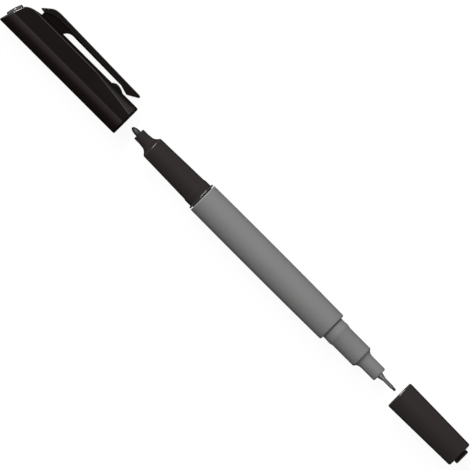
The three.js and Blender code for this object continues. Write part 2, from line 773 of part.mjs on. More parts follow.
const body = new THREE.Group();
body.add(piece("barrel", barrelShape(), greyMoulding));
body.add(piece("bullet_section", bulletSectionShape(), blackMoulding));
body.add(piece("bullet_nib", bulletNibShape(), blackFibre));
body.add(piece("fine_section", fineSectionShape(), greyMoulding, barrelLength));
body.add(piece("needle_sleeve", needleSleeveShape(), steel, barrelLength));
body.add(piece("fine_nib", fineNibShape(), blackFibre, barrelLength));
body.add(piece("fine_nib_holder", fineNibHolderShape(), sealMoulding, barrelLength));
body.add(piece("ink_reservoir", reservoirShape(), blackFibre, reservoirInset));
body.add(piece("reservoir_film", filmShape(), clearFilm, reservoirInset));

const bulletCap = new THREE.Group();
bulletCap.position.x = bulletCapShutAt - bulletCapAside;
bulletCap.add(piece("bullet_cap", bulletCapShape(), blackMoulding));
bulletCap.add(piece("bullet_cap_plug", bulletPlugShape(), blackGloss));
bulletCap.add(piece("bullet_cap_seal", bulletSealShape(), sealMoulding));

const fineCap = new THREE.Group();
fineCap.position.x = fineCapShutAt + fineCapAside;
fineCap.add(piece("fine_cap", fineCapShape(), blackMoulding));
fineCap.add(piece("fine_cap_plug", finePlugShape(), blackMoulding));
fineCap.add(piece("fine_cap_seal", fineSealShape(), sealMoulding));

// Rolled on to its side, then moved so that the middle of its footprint is at the origin.
const marker = new THREE.Group();
marker.add(body, bulletCap, fineCap);
marker.rotation.x = -(Math.PI / 2 + lieAngle());
marker.updateMatrixWorld(true);
const extent = new THREE.Box3().setFromObject(marker, true);
const middle = extent.getCenter(new THREE.Vector3());
marker.position.set(-middle.x, -middle.y, -extent.min.z);

export default marker;
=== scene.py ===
import math

import bmesh
import bpy
from mathutils import Matrix, Vector


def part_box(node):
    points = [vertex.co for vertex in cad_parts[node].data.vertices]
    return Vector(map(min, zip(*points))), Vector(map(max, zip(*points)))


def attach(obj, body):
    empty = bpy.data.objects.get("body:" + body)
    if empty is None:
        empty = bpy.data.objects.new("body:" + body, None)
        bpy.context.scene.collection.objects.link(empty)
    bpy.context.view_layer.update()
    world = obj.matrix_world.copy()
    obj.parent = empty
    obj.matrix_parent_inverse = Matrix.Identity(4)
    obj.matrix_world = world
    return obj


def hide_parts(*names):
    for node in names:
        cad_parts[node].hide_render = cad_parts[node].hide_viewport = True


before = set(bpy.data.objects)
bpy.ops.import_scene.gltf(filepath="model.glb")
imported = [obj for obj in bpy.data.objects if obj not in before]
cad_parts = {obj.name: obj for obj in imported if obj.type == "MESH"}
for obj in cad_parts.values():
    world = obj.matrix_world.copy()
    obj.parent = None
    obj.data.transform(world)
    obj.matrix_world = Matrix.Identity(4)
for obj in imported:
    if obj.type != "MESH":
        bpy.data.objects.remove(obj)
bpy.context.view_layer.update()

bl_info = {
    "name": "Twin-tip marker",
    "version": (1, 0, 0),
    "blender": (4, 5, 0),
    "location": "3D View > Sidebar > Marker",
    "description": "Dresses the packed twin-tip marker with modelled pieces and moulded finishes",
    "category": "Object",
}

MILLIMETRE = 0.001

# Points closer than the first are welded, and edges that turn by less than the second look smooth
WELD = 0.0005 * MILLIMETRE
SMOOTH_BELOW = math.radians(34)

# Steps of the curves, of the rounded corners and round the pieces
CURVE_STEPS = 10
ROUND_STEPS = 4
TURNED_SIDES = 128
NIB_SIDES = 96
SMALL_SIDES = 64

# Roundings of small edges, from nearly sharp to soft
CRISP = 0.05 * MILLIMETRE
LIGHT = 0.08 * MILLIMETRE
EASED = 0.1 * MILLIMETRE
SOFT = 0.2 * MILLIMETRE

# How far a shape that cuts reaches past what it cuts
CUT_PAST = 1.0 * MILLIMETRE


# Sizes and colours that a user would change


def size(name, description, millimetres):
    """A length in metres whose default is given in millimetres."""
    return bpy.props.FloatProperty(
        name=name,
        description=description,
        default=millimetres * MILLIMETRE,
        min=0.0,
        precision=5,
        unit="LENGTH",
    )


def angle(name, description, degrees):
    """An angle whose default is given in degrees."""
    return bpy.props.FloatProperty(
        name=name, description=description, default=math.radians(degrees), subtype="ANGLE"
    )


def colour(name, description, value):
    """A colour, as the shader takes it."""
    return bpy.props.FloatVectorProperty(
        name=name, description=description, default=value, size=3, min=0.0, max=1.0, subtype="COLOR"
    )


def amount(name, description, value):
    """A plain number from 0 up."""
    return bpy.props.FloatProperty(
        name=name, description=description, default=value, min=0.0, subtype="FACTOR", soft_max=1.0
    )


class BarrelSizes(bpy.types.PropertyGroup):
    """The grey tube between the two nib holders."""

    length: size("Length", "From one end face to the other", 57.2)
    radius: size("Radius", "Outside, at the crest", 5.3)
    crest_at: size("Crest", "From the bullet end to the thickest place", 24.6)
    bullet_drop: size("Bullet drop", "How much thinner it is at the bullet end", 0.08)
    fine_drop: size("Fine drop", "How much thinner it is at the fine end", 0.17)
    wall: size("Wall", "Thickness at the fine end", 0.88)
    bullet_edge: size("Bullet edge", "Bevel at the bullet end", 0.15)
    bullet_seam: size("Bullet seam", "Gap that shows at the flange", 0.14)
    # Width of the polished ring at the bullet end, whose paler grey is a painted highlight
    polish_highlight_width: size("Worn edge", "Width of the worn ring at the bullet end", 0.4)
    fine_edge: size("Fine edge", "Rounded edge at the fine end", 0.6)
    chamber_radius: size("Chamber", "Room for the ink reservoir", 3.7)


class BulletSectionSizes(bpy.types.PropertyGroup):
    """The black nib holder and its nib, measured out from the barrel."""

    flange_thickness: size("Flange", "Thickness of the flange", 0.68)
    flange_drop: size("Flange drop", "How far the flange lies below the barrel", 0.17)
    flange_edge: size("Flange edge", "Rounding of the flange", 0.1)
    collar_radius: size("Snap collar", "Radius of the collar that the cap grips", 4.45)
    collar_length: size("Collar length", "From the flange to the body", 2.84)
    collar_ramp: size("Collar ramp", "Length of the slope down to the body", 0.5)
    body_length: size("Body", "From the collar to the flare", 17.83)
    root_radius: size("Body root", "Radius at the collar", 4.26)
    tip_radius: size("Body tip", "Radius at the flare", 3.82)
    flare_length: size("Flare", "From the body to the nozzle", 3.2)
    nozzle_length: size("Nozzle", "Length of the nozzle", 3.4)
    nozzle_root: size("Nozzle root", "Radius where the flare ends", 2.15)
    nozzle_radius: size("Nozzle radius", "Radius at its face", 2.02)
    nozzle_edge: size("Nozzle edge", "Rounding of the face", 0.3)
    spigot_length: size("Spigot", "How far it reaches into the barrel", 8)
    wall: size("Wall", "Thickness of the body", 1.2)
    nib_radius: size("Nib", "Radius of the fibre nib", 1.01)
    nib_taper: size("Nib taper", "Length of the rounded tip", 2.5)
    nib_shown: size("Nib shown", "How far the nib stands out", 2.86)
    nib_depth: size("Nib depth", "How far the nib reaches into the barrel", 6.2)


class FineSectionSizes(bpy.types.PropertyGroup):
    """The grey nib holder, its needle and its nib, measured out from the barrel."""

    collar_length: size("Collar", "Length of the plain collar", 1.4)
    collar_radius: size("Collar radius", "Radius of the plain collar", 4.0)
    bead_length: size("Snap bead", "Length of the bead that the cap grips", 2.6)
    bead_radius: size("Bead radius", "Radius at its top", 4.1)
    body_length: size("Body", "From the bead to the shoulder", 8.95)
    body_radius: size("Body radius", "Radius of the body", 3.83)
    shoulder_length: size("Shoulder", "From the body to the nozzle", 2.7)
    shoulder_edge: size("Shoulder edge", "Bevel where the shoulder starts", 0.35)
    nozzle_length: size("Nozzle", "Length of the nozzle", 5.3)
    nozzle_radius: size("Nozzle radius", "Radius of the nozzle", 2.52)
    nozzle_edge: size("Nozzle edge", "Rounding of its face", 0.55)
    spigot_length: size("Spigot", "How far it reaches into the barrel", 8)
    wall: size("Wall", "Thickness of the body", 1.2)
    cone_length: size("Cone", "Length of the needle's cone", 2.05)
    shank_radius: size("Shank radius", "Radius of the cone at the nozzle", 1.12)
    shank_length: size("Shank", "Length held in the nozzle", 5)
    tube_length: size("Tube", "Length of the thin tube", 3.45)
    tube_radius: size("Tube radius", "Radius of the thin tube", 0.6)
    tube_wall: size("Tube wall", "Thickness of the tube", 0.12)
    nib_radius: size("Fine nib", "Radius of the fine nib", 0.44)
    nib_shown: size("Fine nib shown", "How far it stands out of the tube", 1.34)
    rod_radius: size("Feed rod", "Radius of the rod behind the nib", 0.75)


class LongCapSizes(bpy.types.PropertyGroup):
    """The cap for the bullet nib and its plug, measured from its mouth."""

    length: size("Length", "From the mouth to the lowest point of the end", 50.34)
    wall: size("Wall", "Thickness at the mouth", 0.78)
    mouth_edge: size("Mouth edge", "Rounding of the mouth", 0.7)
    end_edge: size("End edge", "Rounding of the slanted end", 0.3)
    end_wall: size("End wall", "Thickness behind the plug", 2.1)
    end_slant: size("Slant", "How far the end leans back", 3.55)
    crown_run: size("Crown", "How far the top rounds back", 7.9)
    cone_run: size("Core cone", "Length of the cone inside the end", 4.2)
    core_end: size("Core end", "Radius where the core ends", 2.9)
    panel_lower: angle("Panel lower edge", "Angle above the side", -5.9)
    panel_upper: angle("Panel upper edge", "Angle above the side", 54.6)
    panel_mouth: angle("Panel at the mouth", "Angle of the upper edge at the mouth", 25.2)
    panel_sweep: size("Panel sweep", "Length over which the upper edge falls", 17.5)
    crease: size("Crease", "Half the width of the panel's rounded edges", 0.2)
    plug_radius: size("Plug", "Radius of the plug", 2.76)
    plug_rim: size("Plug rim", "Height of the plug's rim", 0.8)
    plug_dome: size("Plug dome", "Height of its dome", 0.32)
    plug_recess: size("Plug recess", "Depth of its seat", 0.4)
    plug_spigot: size("Plug spigot", "Radius of its spigot", 1.5)
    plug_tilt: angle("Plug tilt", "How much less the plug leans than the end does at its middle", 1.3)


class ClipSizes(bpy.types.PropertyGroup):
    """The pocket clip and its grip bump: rises are measured from the cap's round surface."""

    width: size("Width", "Width of the band", 4.0)
    rib_width: size("Rib width", "Width of the rib below the band", 2.6)
    edge: size("Edge", "Rounding of the band's edges", 0.2)
    thickness: size("Thickness", "Thickness of the band", 1.55)
    crest_rise: size("Crest", "Rise of the highest point", 4.03)
    tip_rise: size("Tip", "Rise of the tip", 3.32)
    crest_at: size("Crest place", "From the cap's end", 12.76)
    tail_at: size("Tail place", "From the cap's end", 6.86)
    tail_rise: size("Tail", "Rise of the tail", 0.56)
    tail_lift: size("Tail lift", "Thickness of the tail", 1.05)
    root_at: size("Root place", "From the cap's end", 8.36)
    root_length: size("Root", "Length of the pedestal", 9.0)
    finger_gap: size("Gap", "Rise of the rib's lower edge", 1.68)
    gap_curve: size("Gap curve", "Run of the curve at the pedestal", 2.7)
    tip_from_mouth: size("Tip place", "From the cap's mouth", 2.0)
    tip_round: size("Tip rounding", "Rounding of the tip", 0.8)
    hook_from_mouth: size("Hook place", "From the cap's mouth", 5.75)
    hook_gap: size("Hook gap", "Rise of the hook's low point", 0.5)
    hook_slope: size("Hook slope", "Run of the slope behind the hook", 2.9)
    bump_height: size("Bump", "Height of the grip bump", 0.9)
    bump_length: size("Bump length", "Length of the grip bump", 4.8)
    bump_width: size("Bump width", "Width of the grip bump", 3.0)
    bump_spacing: size("Bump spacing", "From the hook to the bump", 1.1)


class ShortCapSizes(bpy.types.PropertyGroup):
    """The cap for the fine nib and its plug, measured from its mouth."""

    length: size("Length", "From the mouth to the end", 26.7)
    wall: size("Wall", "Thickness at the mouth", 0.71)
    draft: size("Draft", "How much thinner the end is", 0.46)
    bore_draft: size("Bore draft", "How much narrower the bore's end is", 0.25)
    mouth_edge: size("Mouth edge", "Rounding of the mouth", 0.12)
    end_edge: size("End edge", "Rounding of the end", 0.6)
    end_wall: size("End wall", "Thickness of the end", 1.1)
    standoff: size("Standoff", "Gap that it leaves to the barrel when shut", 1.46)
    plug_radius: size("Plug", "Radius of the plug", 2.55)
    plug_height: size("Plug height", "How far the plug stands out", 1.27)
    plug_edge: size("Plug edge", "Rounding of the plug", 0.37)
    plug_spigot: size("Plug spigot", "Radius of its spigot", 2.0)
    plug_depth: size("Plug depth", "Length of its spigot", 1.9)


class SealSizes(bpy.types.PropertyGroup):
    """The seals inside the caps, and the clearances of the whole marker."""

    wall: size("Wall", "Thickness of a seal's cup", 0.7)
    stem_radius: size("Stem", "Radius of the long cap's stem", 1.4)
    floor: size("Floor", "Thickness of a cup's floor", 0.9)
    fin_thickness: size("Fin", "Thickness of a fin", 0.6)
    fins: bpy.props.IntProperty(
        name="Fins", description="Number of fins round each seal", default=4, min=2, subtype="UNSIGNED"
    )
    tunnel_gap: size("Tunnel gap", "Room round the needle", 0.25)
    tip_room: size("Tip room", "Room in front of a nib", 0.8)
    fit_gap: size("Fit gap", "Clearance between pieces that are fixed", 0.2)
    seam_gap: size("Seam gap", "Gap at a visible seam", 0.1)
    cap_gap: size("Cap clearance", "Clearance between a cap and its section", 0.15)


class BevelSizes(bpy.types.PropertyGroup):
    """The narrow polished bevels on the edges that face the bullet end."""

    width: size("Width", "Width of a bevel along the marker", 0.22)
    shoulder: angle("Shoulder", "How much the shoulder's bevel leans towards the bullet end", 11.9)
    flange: angle("Flange", "How much the flange's bevel leans", 12.3)
    mouth: angle("Mouth", "How much the short cap's mouth bevel leans", 14.3)
    end: angle("End", "How much the long cap's end bevel leans", 11.9)
    plug: angle("Plug", "How much the plug's bevel leans towards its dome", 12.5)
    spread: angle("Spread", "How much the lean grows and shrinks across a bevel", 1.5)
    plug_spread: angle("Plug spread", "The same on the plug", 4.0)
    ease: size("Ease", "Length of the easing before the shoulder's bevel", 0.44)


class Finishes(bpy.types.PropertyGroup):
    """Colours of the finishes."""

    barrel: colour("Barrel", "Grey of the barrel and the fine section", (0.262, 0.262, 0.260))
    moulding: colour("Black moulding", "Short cap and bullet section", (0.0344, 0.0285, 0.0272))
    long_cap: colour("Long cap", "Deeper black of the long cap", (0.0100, 0.0074, 0.0067))
    # Painted light: a lighter black for the long cap's round side below the panels, for the light band
    # there
    under: colour("Long cap's underside", "Black of its round side", (0.0190, 0.0135, 0.0122))
    gloss: colour("Plug", "Polished black of the long cap's plug", (0.016, 0.016, 0.016))
    nib: colour("Nib fibre", "Ink-soaked fibre", (0.011, 0.011, 0.0115))
    steel: colour("Needle", "Steel of the needle", (0.22, 0.22, 0.222))
    seal: colour("Seal", "Natural moulding of the seals", (0.70, 0.70, 0.67))
    ink: colour("Reservoir", "Ink-soaked rod", (0.012, 0.012, 0.015))
    film: colour("Film", "Film round the rod", (0.78, 0.78, 0.78))


class StudioSettings(bpy.types.PropertyGroup):
    """Camera, lamps and floor. The lamps' angles are measured from the camera."""

    view_width: size("View width", "Width of the picture at the marker", 146.2)
    lens: amount("Lens", "Focal length in millimetres", 1200.0)
    aim_along: size("Aim along", "Point of the axis in the middle of the picture", 0.009)
    aim_aside: size("Aim aside", "How far the axis lies above the middle", 1.026)
    strip_aside: angle("Strip aside", "Towards the clip's side", 26)
    box_aside: angle("Soft box aside", "Towards the clip's side", 26)
    lamp_forward: angle("Lamps forward", "Towards the bullet end", 28)
    lamp_distance: size("Lamp distance", "From the marker", 1600)
    strip_length: size("Strip length", "Across the marker", 1960)
    strip_width: size("Strip width", "Along the marker", 50)
    strip_power: amount("Strip power", "In watts", 18.0)
    box_side: size("Soft box", "Side of the square soft box", 1240)
    box_power: amount("Soft box power", "In watts", 3.2)
    sky: amount("Sky", "Strength of the light from all round", 0.19)
    floor: colour("Floor", "Colour of the floor", (0.16, 0.16, 0.16))
    floor_glow: amount("Floor white", "White that the camera and reflections see on the floor", 0.925)
    floor_bounce: amount("Floor bounce", "Light that the floor gives the marker's lower side", 0.05)
    floor_reach: size("Floor reach", "Half the side of the floor", 40000)


# Node trees


class Wire:
    """A socket that can be used in arithmetic: each operation adds its Math node."""

    def __init__(self, graph, socket):
        self.graph = graph
        self.socket = socket

    def beside(self, output):
        """Another output of the node that this one belongs to."""
        return Wire(self.graph, self.socket.node.outputs[output])

    def math(self, operation, other=0.0, swapped=False):
        """This value and another one through a Math node."""
        first, second = (other, self) if swapped else (self, other)
        return self.graph.node("ShaderNodeMath", {"operation": operation}, {0: first, 1: second})

    def __add__(self, other):
        return self.math("ADD", other)

    def __sub__(self, other):
        return self.math("SUBTRACT", other)

    def __rsub__(self, other):
        return self.math("SUBTRACT", other, swapped=True)

    def __mul__(self, other):
        return self.math("MULTIPLY", other)

    def __truediv__(self, other):
        return self.math("DIVIDE", other)

    __radd__ = __add__
    __rmul__ = __mul__


class Graph:
    """A node tree being wired: one method adds a node, sets it up and feeds its sockets.

    A list feeds a socket that takes several links.
    """

    def __init__(self, tree):
        self.tree = tree

    def node(self, kind, settings=None, feeds=None, output=0):
        """Adds a node and returns one of its outputs."""
        made = self.tree.nodes.new(kind)
        for name, value in (settings or {}).items():
            setattr(made, name, value)
        for key, value in (feeds or {}).items():
            for each in value if isinstance(value, list) else [value]:
                self.feed(made.inputs[key], each)
        return Wire(self, made.outputs[output]) if made.outputs else None

    def feed(self, socket, value):
        """Links a wire to a socket, or sets a plain value on it."""
        if isinstance(value, Wire):
            self.tree.links.new(value.socket, socket)
        else:
            socket.default_value = value

    def range(self, value, low, high, to_low=0.0, to_high=1.0):
        """A value taken from one range to another and held at its ends."""
        feeds = {"Value": value, "From Min": low, "From Max": high, "To Min": to_low, "To Max": to_high}
        return self.node("ShaderNodeMapRange", {"clamp": True}, feeds)


# Share of a ring's half width over which its mark is whole
RING_CORE = 0.8

# Blend at which Layer Weight's Facing is the squared sine of the angle to the eye
SQUARED_SINE = 0.75

# Squared sines between which the gloss of most finishes fades
USUAL_FADE = (0.44, 0.84)

COAT_ROUGHNESS = 0.1


class Finish(Graph):
    """A material being written, with the patterns that the marker's finishes share."""

    def __init__(self, name):
        self.material = bpy.data.materials.new(name)
        self.material.use_nodes = True
        super().__init__(self.material.node_tree)
        self.tree.nodes.clear()
        self.place = self.node("ShaderNodeTexCoord", output="Object")

    def stretched(self, along, across):
        """Places for a pattern, scaled along the marker and across it."""
        feeds = {"Vector": self.place, "Scale": (along, across, across)}
        return self.node("ShaderNodeMapping", {"vector_type": "POINT"}, feeds)

    def noise(self, scale, detail=2.0, where=None):
        """Cloudy pattern from 0 to 1, finer the larger its scale."""
        feeds = {"Vector": where or self.place, "Scale": scale, "Detail": detail}
        return self.node("ShaderNodeTexNoise", None, feeds)

    def mix(self, share, first, second):
        """A colour between two, by a share from 0 to 1."""
        feeds = {0: share, 6: self.rgba(first), 7: self.rgba(second)}
        return self.node("ShaderNodeMix", {"data_type": "RGBA"}, feeds, output=2)

    def rgba(self, value):
        return value if isinstance(value, Wire) else (*value, 1.0)

    def bump(self, height, depth, below=None):
        """Relief of a pattern, on top of another relief where one is given."""
        feeds = {"Height": height, "Distance": depth}
        if below:
            feeds["Normal"] = below
        return self.node("ShaderNodeBump", None, feeds)

    def surface(self, feeds):
        return self.node("ShaderNodeBsdfPrincipled", None, feeds)

    def blend(self, share, first, second):
        """A surface between two, by a share from 0 to 1."""
        return self.node("ShaderNodeMixShader", None, {0: share, 1: first, 2: second})

    def mark(self, name):
        """What mark_faces wrote on the faces under a name."""
        return self.node("ShaderNodeAttribute", {"attribute_name": name}, output="Fac")

    def rings(self, edges):
        """1 on each ring round the X axis that is given by its place and half its width, else 0."""
        along = self.node("ShaderNodeSeparateXYZ", None, {0: self.place})
        masks = []
        for at, half in edges:
            off = (along - at).math("ABSOLUTE")
            masks.append(self.range(off, half * RING_CORE, half, 1, 0))
        return sum(masks[1:], masks[0])

    def fading(self, fade, shiny, dull):
        """Gloss that fades where the surface turns away, between two squared sines of the angle."""
        facing = self.node("ShaderNodeLayerWeight", None, {"Blend": SQUARED_SINE}, output="Facing")
        return self.blend(self.range(facing, *fade), shiny, dull)

    def plastic(self, base, roughness, bump, specular, coat=0.0, fade=USUAL_FADE):
        """Moulded plastic whose gloss fades on surfaces that turn away, as a moulding's skin does."""
        shared = {"Base Color": base, "Roughness": roughness, "Normal": bump}
        gloss = {"Specular IOR Level": specular, "Coat Weight": coat, "Coat Roughness": COAT_ROUGHNESS}
        shiny = self.surface({**shared, **gloss})
        dull = self.surface({**shared, "Specular IOR Level": 0.0})
        return self.fading(fade, shiny, dull)

    def finished(self, surface):
        """Ends the material with its surface."""
        self.node("ShaderNodeOutputMaterial", None, {"Surface": surface})
        return self.material


def shaded(value, share):
    """A colour scaled by a share: the dark or light end of a mottle, and the paler and darker colours
    that paint highlights and shade.
    """
    return tuple(channel * share for channel in value)


def new_tree(name, inputs):
    """A geometry tree with its named inputs; returns the graph and the input node's wires."""
    tree = bpy.data.node_groups.new(name, "GeometryNodeTree")
    tree.is_modifier = True
    for label, kind, default in inputs:
        socket = tree.interface.new_socket(label, in_out="INPUT", socket_type="NodeSocket" + kind)
        if default is not None:
            socket.default_value = default
    tree.interface.new_socket("Geometry", in_out="OUTPUT", socket_type="NodeSocketGeometry")
    graph = Graph(tree)
    source = tree.nodes.new("NodeGroupInput")
    return graph, {label: Wire(graph, source.outputs[label]) for label, kind, default in inputs}


def end_tree(graph, geometry, finish):
    """Ends a tree as the export needs it: nothing instanced, one finish."""
    real = graph.node("GeometryNodeRealizeInstances", None, {0: geometry})
    painted = graph.node("GeometryNodeSetMaterial", None, {"Geometry": real, "Material": finish})
    graph.node("NodeGroupOutput", None, {0: painted})
    return graph.tree


# Keeps a whole number from rounding down when an index is divided by the length of a row
ROW_NUDGE = 0.0001


def spin(graph, profile, sides):
    """Turns a profile in x and z about the X axis and welds its seam and poles."""
    count = graph.node("GeometryNodeAttributeDomainSize", {"component": "MESH"}, {0: profile})
    rows = sides + 1
    grid = graph.node("GeometryNodeMeshGrid", None, {"Vertices X": count, "Vertices Y": rows})
    index = graph.node("GeometryNodeInputIndex")
    row = (index / rows + ROW_NUDGE).math("FLOOR")
    column = index - row * rows
    sampled = graph.node(
        "GeometryNodeSampleIndex",
        {"data_type": "FLOAT_VECTOR", "domain": "POINT"},
        {"Geometry": profile, "Value": graph.node("GeometryNodeInputPosition"), "Index": row},
    )
    turned = graph.node(
        "ShaderNodeVectorRotate",
        {"rotation_type": "X_AXIS"},
        {"Vector": sampled, "Angle": column / sides * math.tau},
    )
    moved = graph.node("GeometryNodeSetPosition", None, {"Geometry": grid, "Position": turned})
    return graph.node("GeometryNodeMergeByDistance", None, {"Geometry": moved, "Distance": WELD})


TURNED_INPUTS = [
    ("Profile", "Geometry", None),
    ("Sides", "Int", TURNED_SIDES),
    ("Place", "Vector", (0.0, 0.0, 0.0)),
    ("Lean", "Float", 0.0),
    ("Lean Place", "Float", 0.0),
    ("Roll", "Float", 0.0),
    ("Finish", "Material", None),
]


def put_in_place(graph, geometry, wires):
    """Leans a turned shape in the clip's plane, then rolls it and takes it to its place."""
    lean = graph.node("ShaderNodeCombineXYZ", None, {"Y": wires["Lean"]})
    lean_place = graph.node("ShaderNodeCombineXYZ", None, {"X": wires["Lean Place"]})
    feeds = {"Geometry": geometry, "Translation": lean_place, "Rotation": lean}
    leaned = graph.node("GeometryNodeTransform", None, feeds)
    roll = graph.node("ShaderNodeCombineXYZ", None, {"X": wires["Roll"]})
    feeds = {"Geometry": leaned, "Translation": wires["Place"], "Rotation": roll}
    return graph.node("GeometryNodeTransform", None, feeds)


def turned_tree():
    """Geometry tree for every round piece: its profile turned about the marker's axis."""
    graph, wires = new_tree("Turned piece", TURNED_INPUTS)
    turned = spin(graph, wires["Profile"], wires["Sides"])
    return end_tree(graph, put_in_place(graph, turned, wires), wires["Finish"])


FIN_INPUTS = [
    ("Fins", "Int", 4),
    ("Fin From", "Float", 0.0),
    ("Fin To", "Float", 0.01),
    ("Fin Inner", "Float", 0.001),
    ("Fin Outer", "Float", 0.004),
    ("Fin Thickness", "Float", 0.0006),
    ("Fin Slope", "Float", 0.001),
]


def fin_plate(graph, wires):
    """One fin beside the axis: a thin plate whose far upper corner is cut back."""
    start, end = wires["Fin From"], wires["Fin To"]
    inner, outer = wires["Fin Inner"], wires["Fin Outer"]
    middle = (start + end) * 0.5
    middle_height = (inner + outer) * 0.5
    feeds = {"X": end - start, "Y": wires["Fin Thickness"], "Z": outer - inner}
    extent = graph.node("ShaderNodeCombineXYZ", None, feeds)
    plate = graph.node("GeometryNodeMeshCube", None, {"Size": extent})
    place = graph.node("ShaderNodeCombineXYZ", None, {"X": middle, "Z": middle_height})
    plate = graph.node("GeometryNodeTransform", None, {"Geometry": plate, "Translation": place})
    along = graph.node("ShaderNodeSeparateXYZ", None, {0: graph.node("GeometryNodeInputPosition")})
    far = along.math("GREATER_THAN", middle)
    high = along.beside("Z").math("GREATER_THAN", middle_height)
    cut = graph.node("ShaderNodeCombineXYZ", None, {"X": wires["Fin Slope"] * high * far * -1.0})
    return graph.node("GeometryNodeSetPosition", None, {"Geometry": plate, "Offset": cut})


def repeated_round(graph, geometry, count):
    """A shape repeated evenly round the X axis, from half a step past its own place."""
    points = graph.node("GeometryNodePoints", None, {"Count": count})
    turn = (graph.node("GeometryNodeInputIndex") + 0.5) / count * math.tau
    around = graph.node("ShaderNodeCombineXYZ", None, {"X": turn})
    feeds = {"Points": points, "Instance": geometry, "Rotation": around}
    copies = graph.node("GeometryNodeInstanceOnPoints", None, feeds)
    return graph.node("GeometryNodeRealizeInstances", None, {0: copies})


def finned_tree():
    """Geometry tree for a seal: a turned cup with fins repeated round its axis."""
    graph, wires = new_tree("Finned seal", TURNED_INPUTS + FIN_INPUTS)
    cup = spin(graph, wires["Profile"], wires["Sides"])
    fins = repeated_round(graph, fin_plate(graph, wires), wires["Fins"])
    settings = {"operation": "UNION", "solver": "EXACT"}
    whole = graph.node("GeometryNodeMeshBoolean", settings, {"Mesh 2": [cup, fins]})
    return end_tree(graph, put_in_place(graph, whole, wires), wires["Finish"])


# Meshes


def plain_mesh(carrier):
    """What an object's modifiers make, as a mesh of its own."""
    depsgraph = bpy.context.evaluated_depsgraph_get()
    evaluated = carrier.evaluated_get(depsgraph)
    return bpy.data.meshes.new_from_object(evaluated, preserve_all_data_layers=True, depsgraph=depsgraph)


def carry(mesh, name="carrier"):
    """An object in the scene that holds a mesh."""
    carrier = bpy.data.objects.new(name, mesh)
    bpy.context.scene.collection.objects.link(carrier)
    return carrier


def run_tree(name, tree, source, values):
    """Runs a geometry tree over a mesh and leaves an object with a plain mesh."""
    carrier = carry(source, name)
    modifier = carrier.modifiers.new(tree.name, "NODES")
    modifier.node_group = tree
    for item in tree.interface.items_tree:
        if item.in_out == "INPUT" and item.name in values:
            modifier[item.identifier] = values[item.name]
    made = plain_mesh(carrier)
    carrier.modifiers.clear()
    carrier.data = made
    return carrier


def combined(mesh, tool, operation):
    """One mesh with another added to it (UNION) or cut out of it (DIFFERENCE)."""
    carrier = carry(mesh)
    other = carry(tool, "tool")
    modifier = carrier.modifiers.new("Combine", "BOOLEAN")
    modifier.operation = operation
    modifier.solver = "EXACT"
    modifier.object = other
    made = plain_mesh(carrier)
    bpy.data.objects.remove(carrier)
    bpy.data.objects.remove(other)
    return made


def tidy_mesh(mesh):
    """Welds doubles, points the faces outwards and shades smooth except over sharp edges."""
    shell = bmesh.new()
    shell.from_mesh(mesh)
    bmesh.ops.remove_doubles(shell, verts=shell.verts, dist=0.1 * WELD)
    bmesh.ops.recalc_face_normals(shell, faces=shell.faces)
    shell.to_mesh(mesh)
    shell.free()
    mesh.shade_smooth()
    mesh.set_sharp_from_angle(angle=SMOOTH_BELOW)


def mesh_from(points, faces):
    """A mesh from a list of points and one of faces."""
    mesh = bpy.data.meshes.new("shape")
    mesh.from_pydata([tuple(p) for p in points], [], faces)
    mesh.update()
    return mesh


def profile_mesh(points):
    """A profile as a chain of points in x and z, as the turning tree takes it."""
    mesh = bpy.data.meshes.new("profile")
    edges = [(i, i + 1) for i in range(len(points) - 1)]
    mesh.from_pydata([(x, 0.0, radius) for x, radius in points], edges, [])
    return mesh


# Where a crowned bevel has its corners, as shares of its width
BEVEL_SHARES = (0.0, 0.08, 0.5, 0.92, 1.0)


def crowned(start, end, spread):
    """Corners along a bevel whose lean grows evenly across it, by the spread to either side."""
    corners = []
    for share in BEVEL_SHARES:
        rise = min(share, 1 - share) * abs(end[0] - start[0]) * math.tan(spread)
        along, out = (a + share * (b - a) for a, b in zip(start, end))
        corners.append((along, out + rise))
    return corners


def bend(start, control, end, steps=CURVE_STEPS):
    """Corners along a quadratic curve, its start left out."""
    corners = []
    for step in range(1, steps + 1):
        share = step / steps
        near, middle, far = (1 - share) ** 2, 2 * share * (1 - share), share * share
        corners.append(tuple(near * a + middle * b + far * c for a, b, c in zip(start, control, end)))
    return corners


def outline(corners, steps=ROUND_STEPS):
    """A path through corners: one with a third number is rounded, by that much along each side."""
    points = []
    for place, corner in enumerate(corners):
        here = Vector(corner[:2])
        if len(corner) < 3:
            points.append(tuple(here))
            continue
        before = Vector(corners[place - 1][:2])
        after = Vector(corners[(place + 1) % len(corners)][:2])
        start = here + (before - here).normalized() * corner[2]
        end = here + (after - here).normalized() * corner[2]
        points += [tuple(start), *bend(start, here, end, steps)]
    return points


def backwards(corners):
    """The same path, measured towards -X."""
    return [(-corner[0], *corner[1:]) for corner in corners]


def ring_profile(corners):
    """A profile that closes on itself, for a piece with a bore."""
    points = outline(corners)
    return points + points[:1]


# Edges of a slab that turn by more than this are rounded, in this many steps
SLAB_CORNER = math.radians(50)
SLAB_STEPS = 3


def slab(corners, width, edge):
    """A side view in x and z, given a width along Y and rounded edges."""
    points = outline(corners)
    shell = bmesh.new()
    near = [shell.verts.new((x, -width / 2, z)) for x, z in points]
    far = [shell.verts.new((x, width / 2, z)) for x, z in points]
    shell.faces.new(near)
    shell.faces.new(far[::-1])
    for i in range(len(points)):
        shell.faces.new((near[i], far[i], far[(i + 1) % len(points)], near[(i + 1) % len(points)]))
    bmesh.ops.recalc_face_normals(shell, faces=shell.faces)
    mesh = bpy.data.meshes.new("slab")
    shell.to_mesh(mesh)
    shell.free()
    carrier = carry(mesh)
    bevel = carrier.modifiers.new("Edge", "BEVEL")
    bevel.width = edge
    bevel.segments = SLAB_STEPS
    bevel.limit_method = "ANGLE"
    bevel.angle_limit = SLAB_CORNER
    bevel.use_clamp_overlap = False
    made = plain_mesh(carrier)
    bpy.data.objects.remove(carrier)
    return made


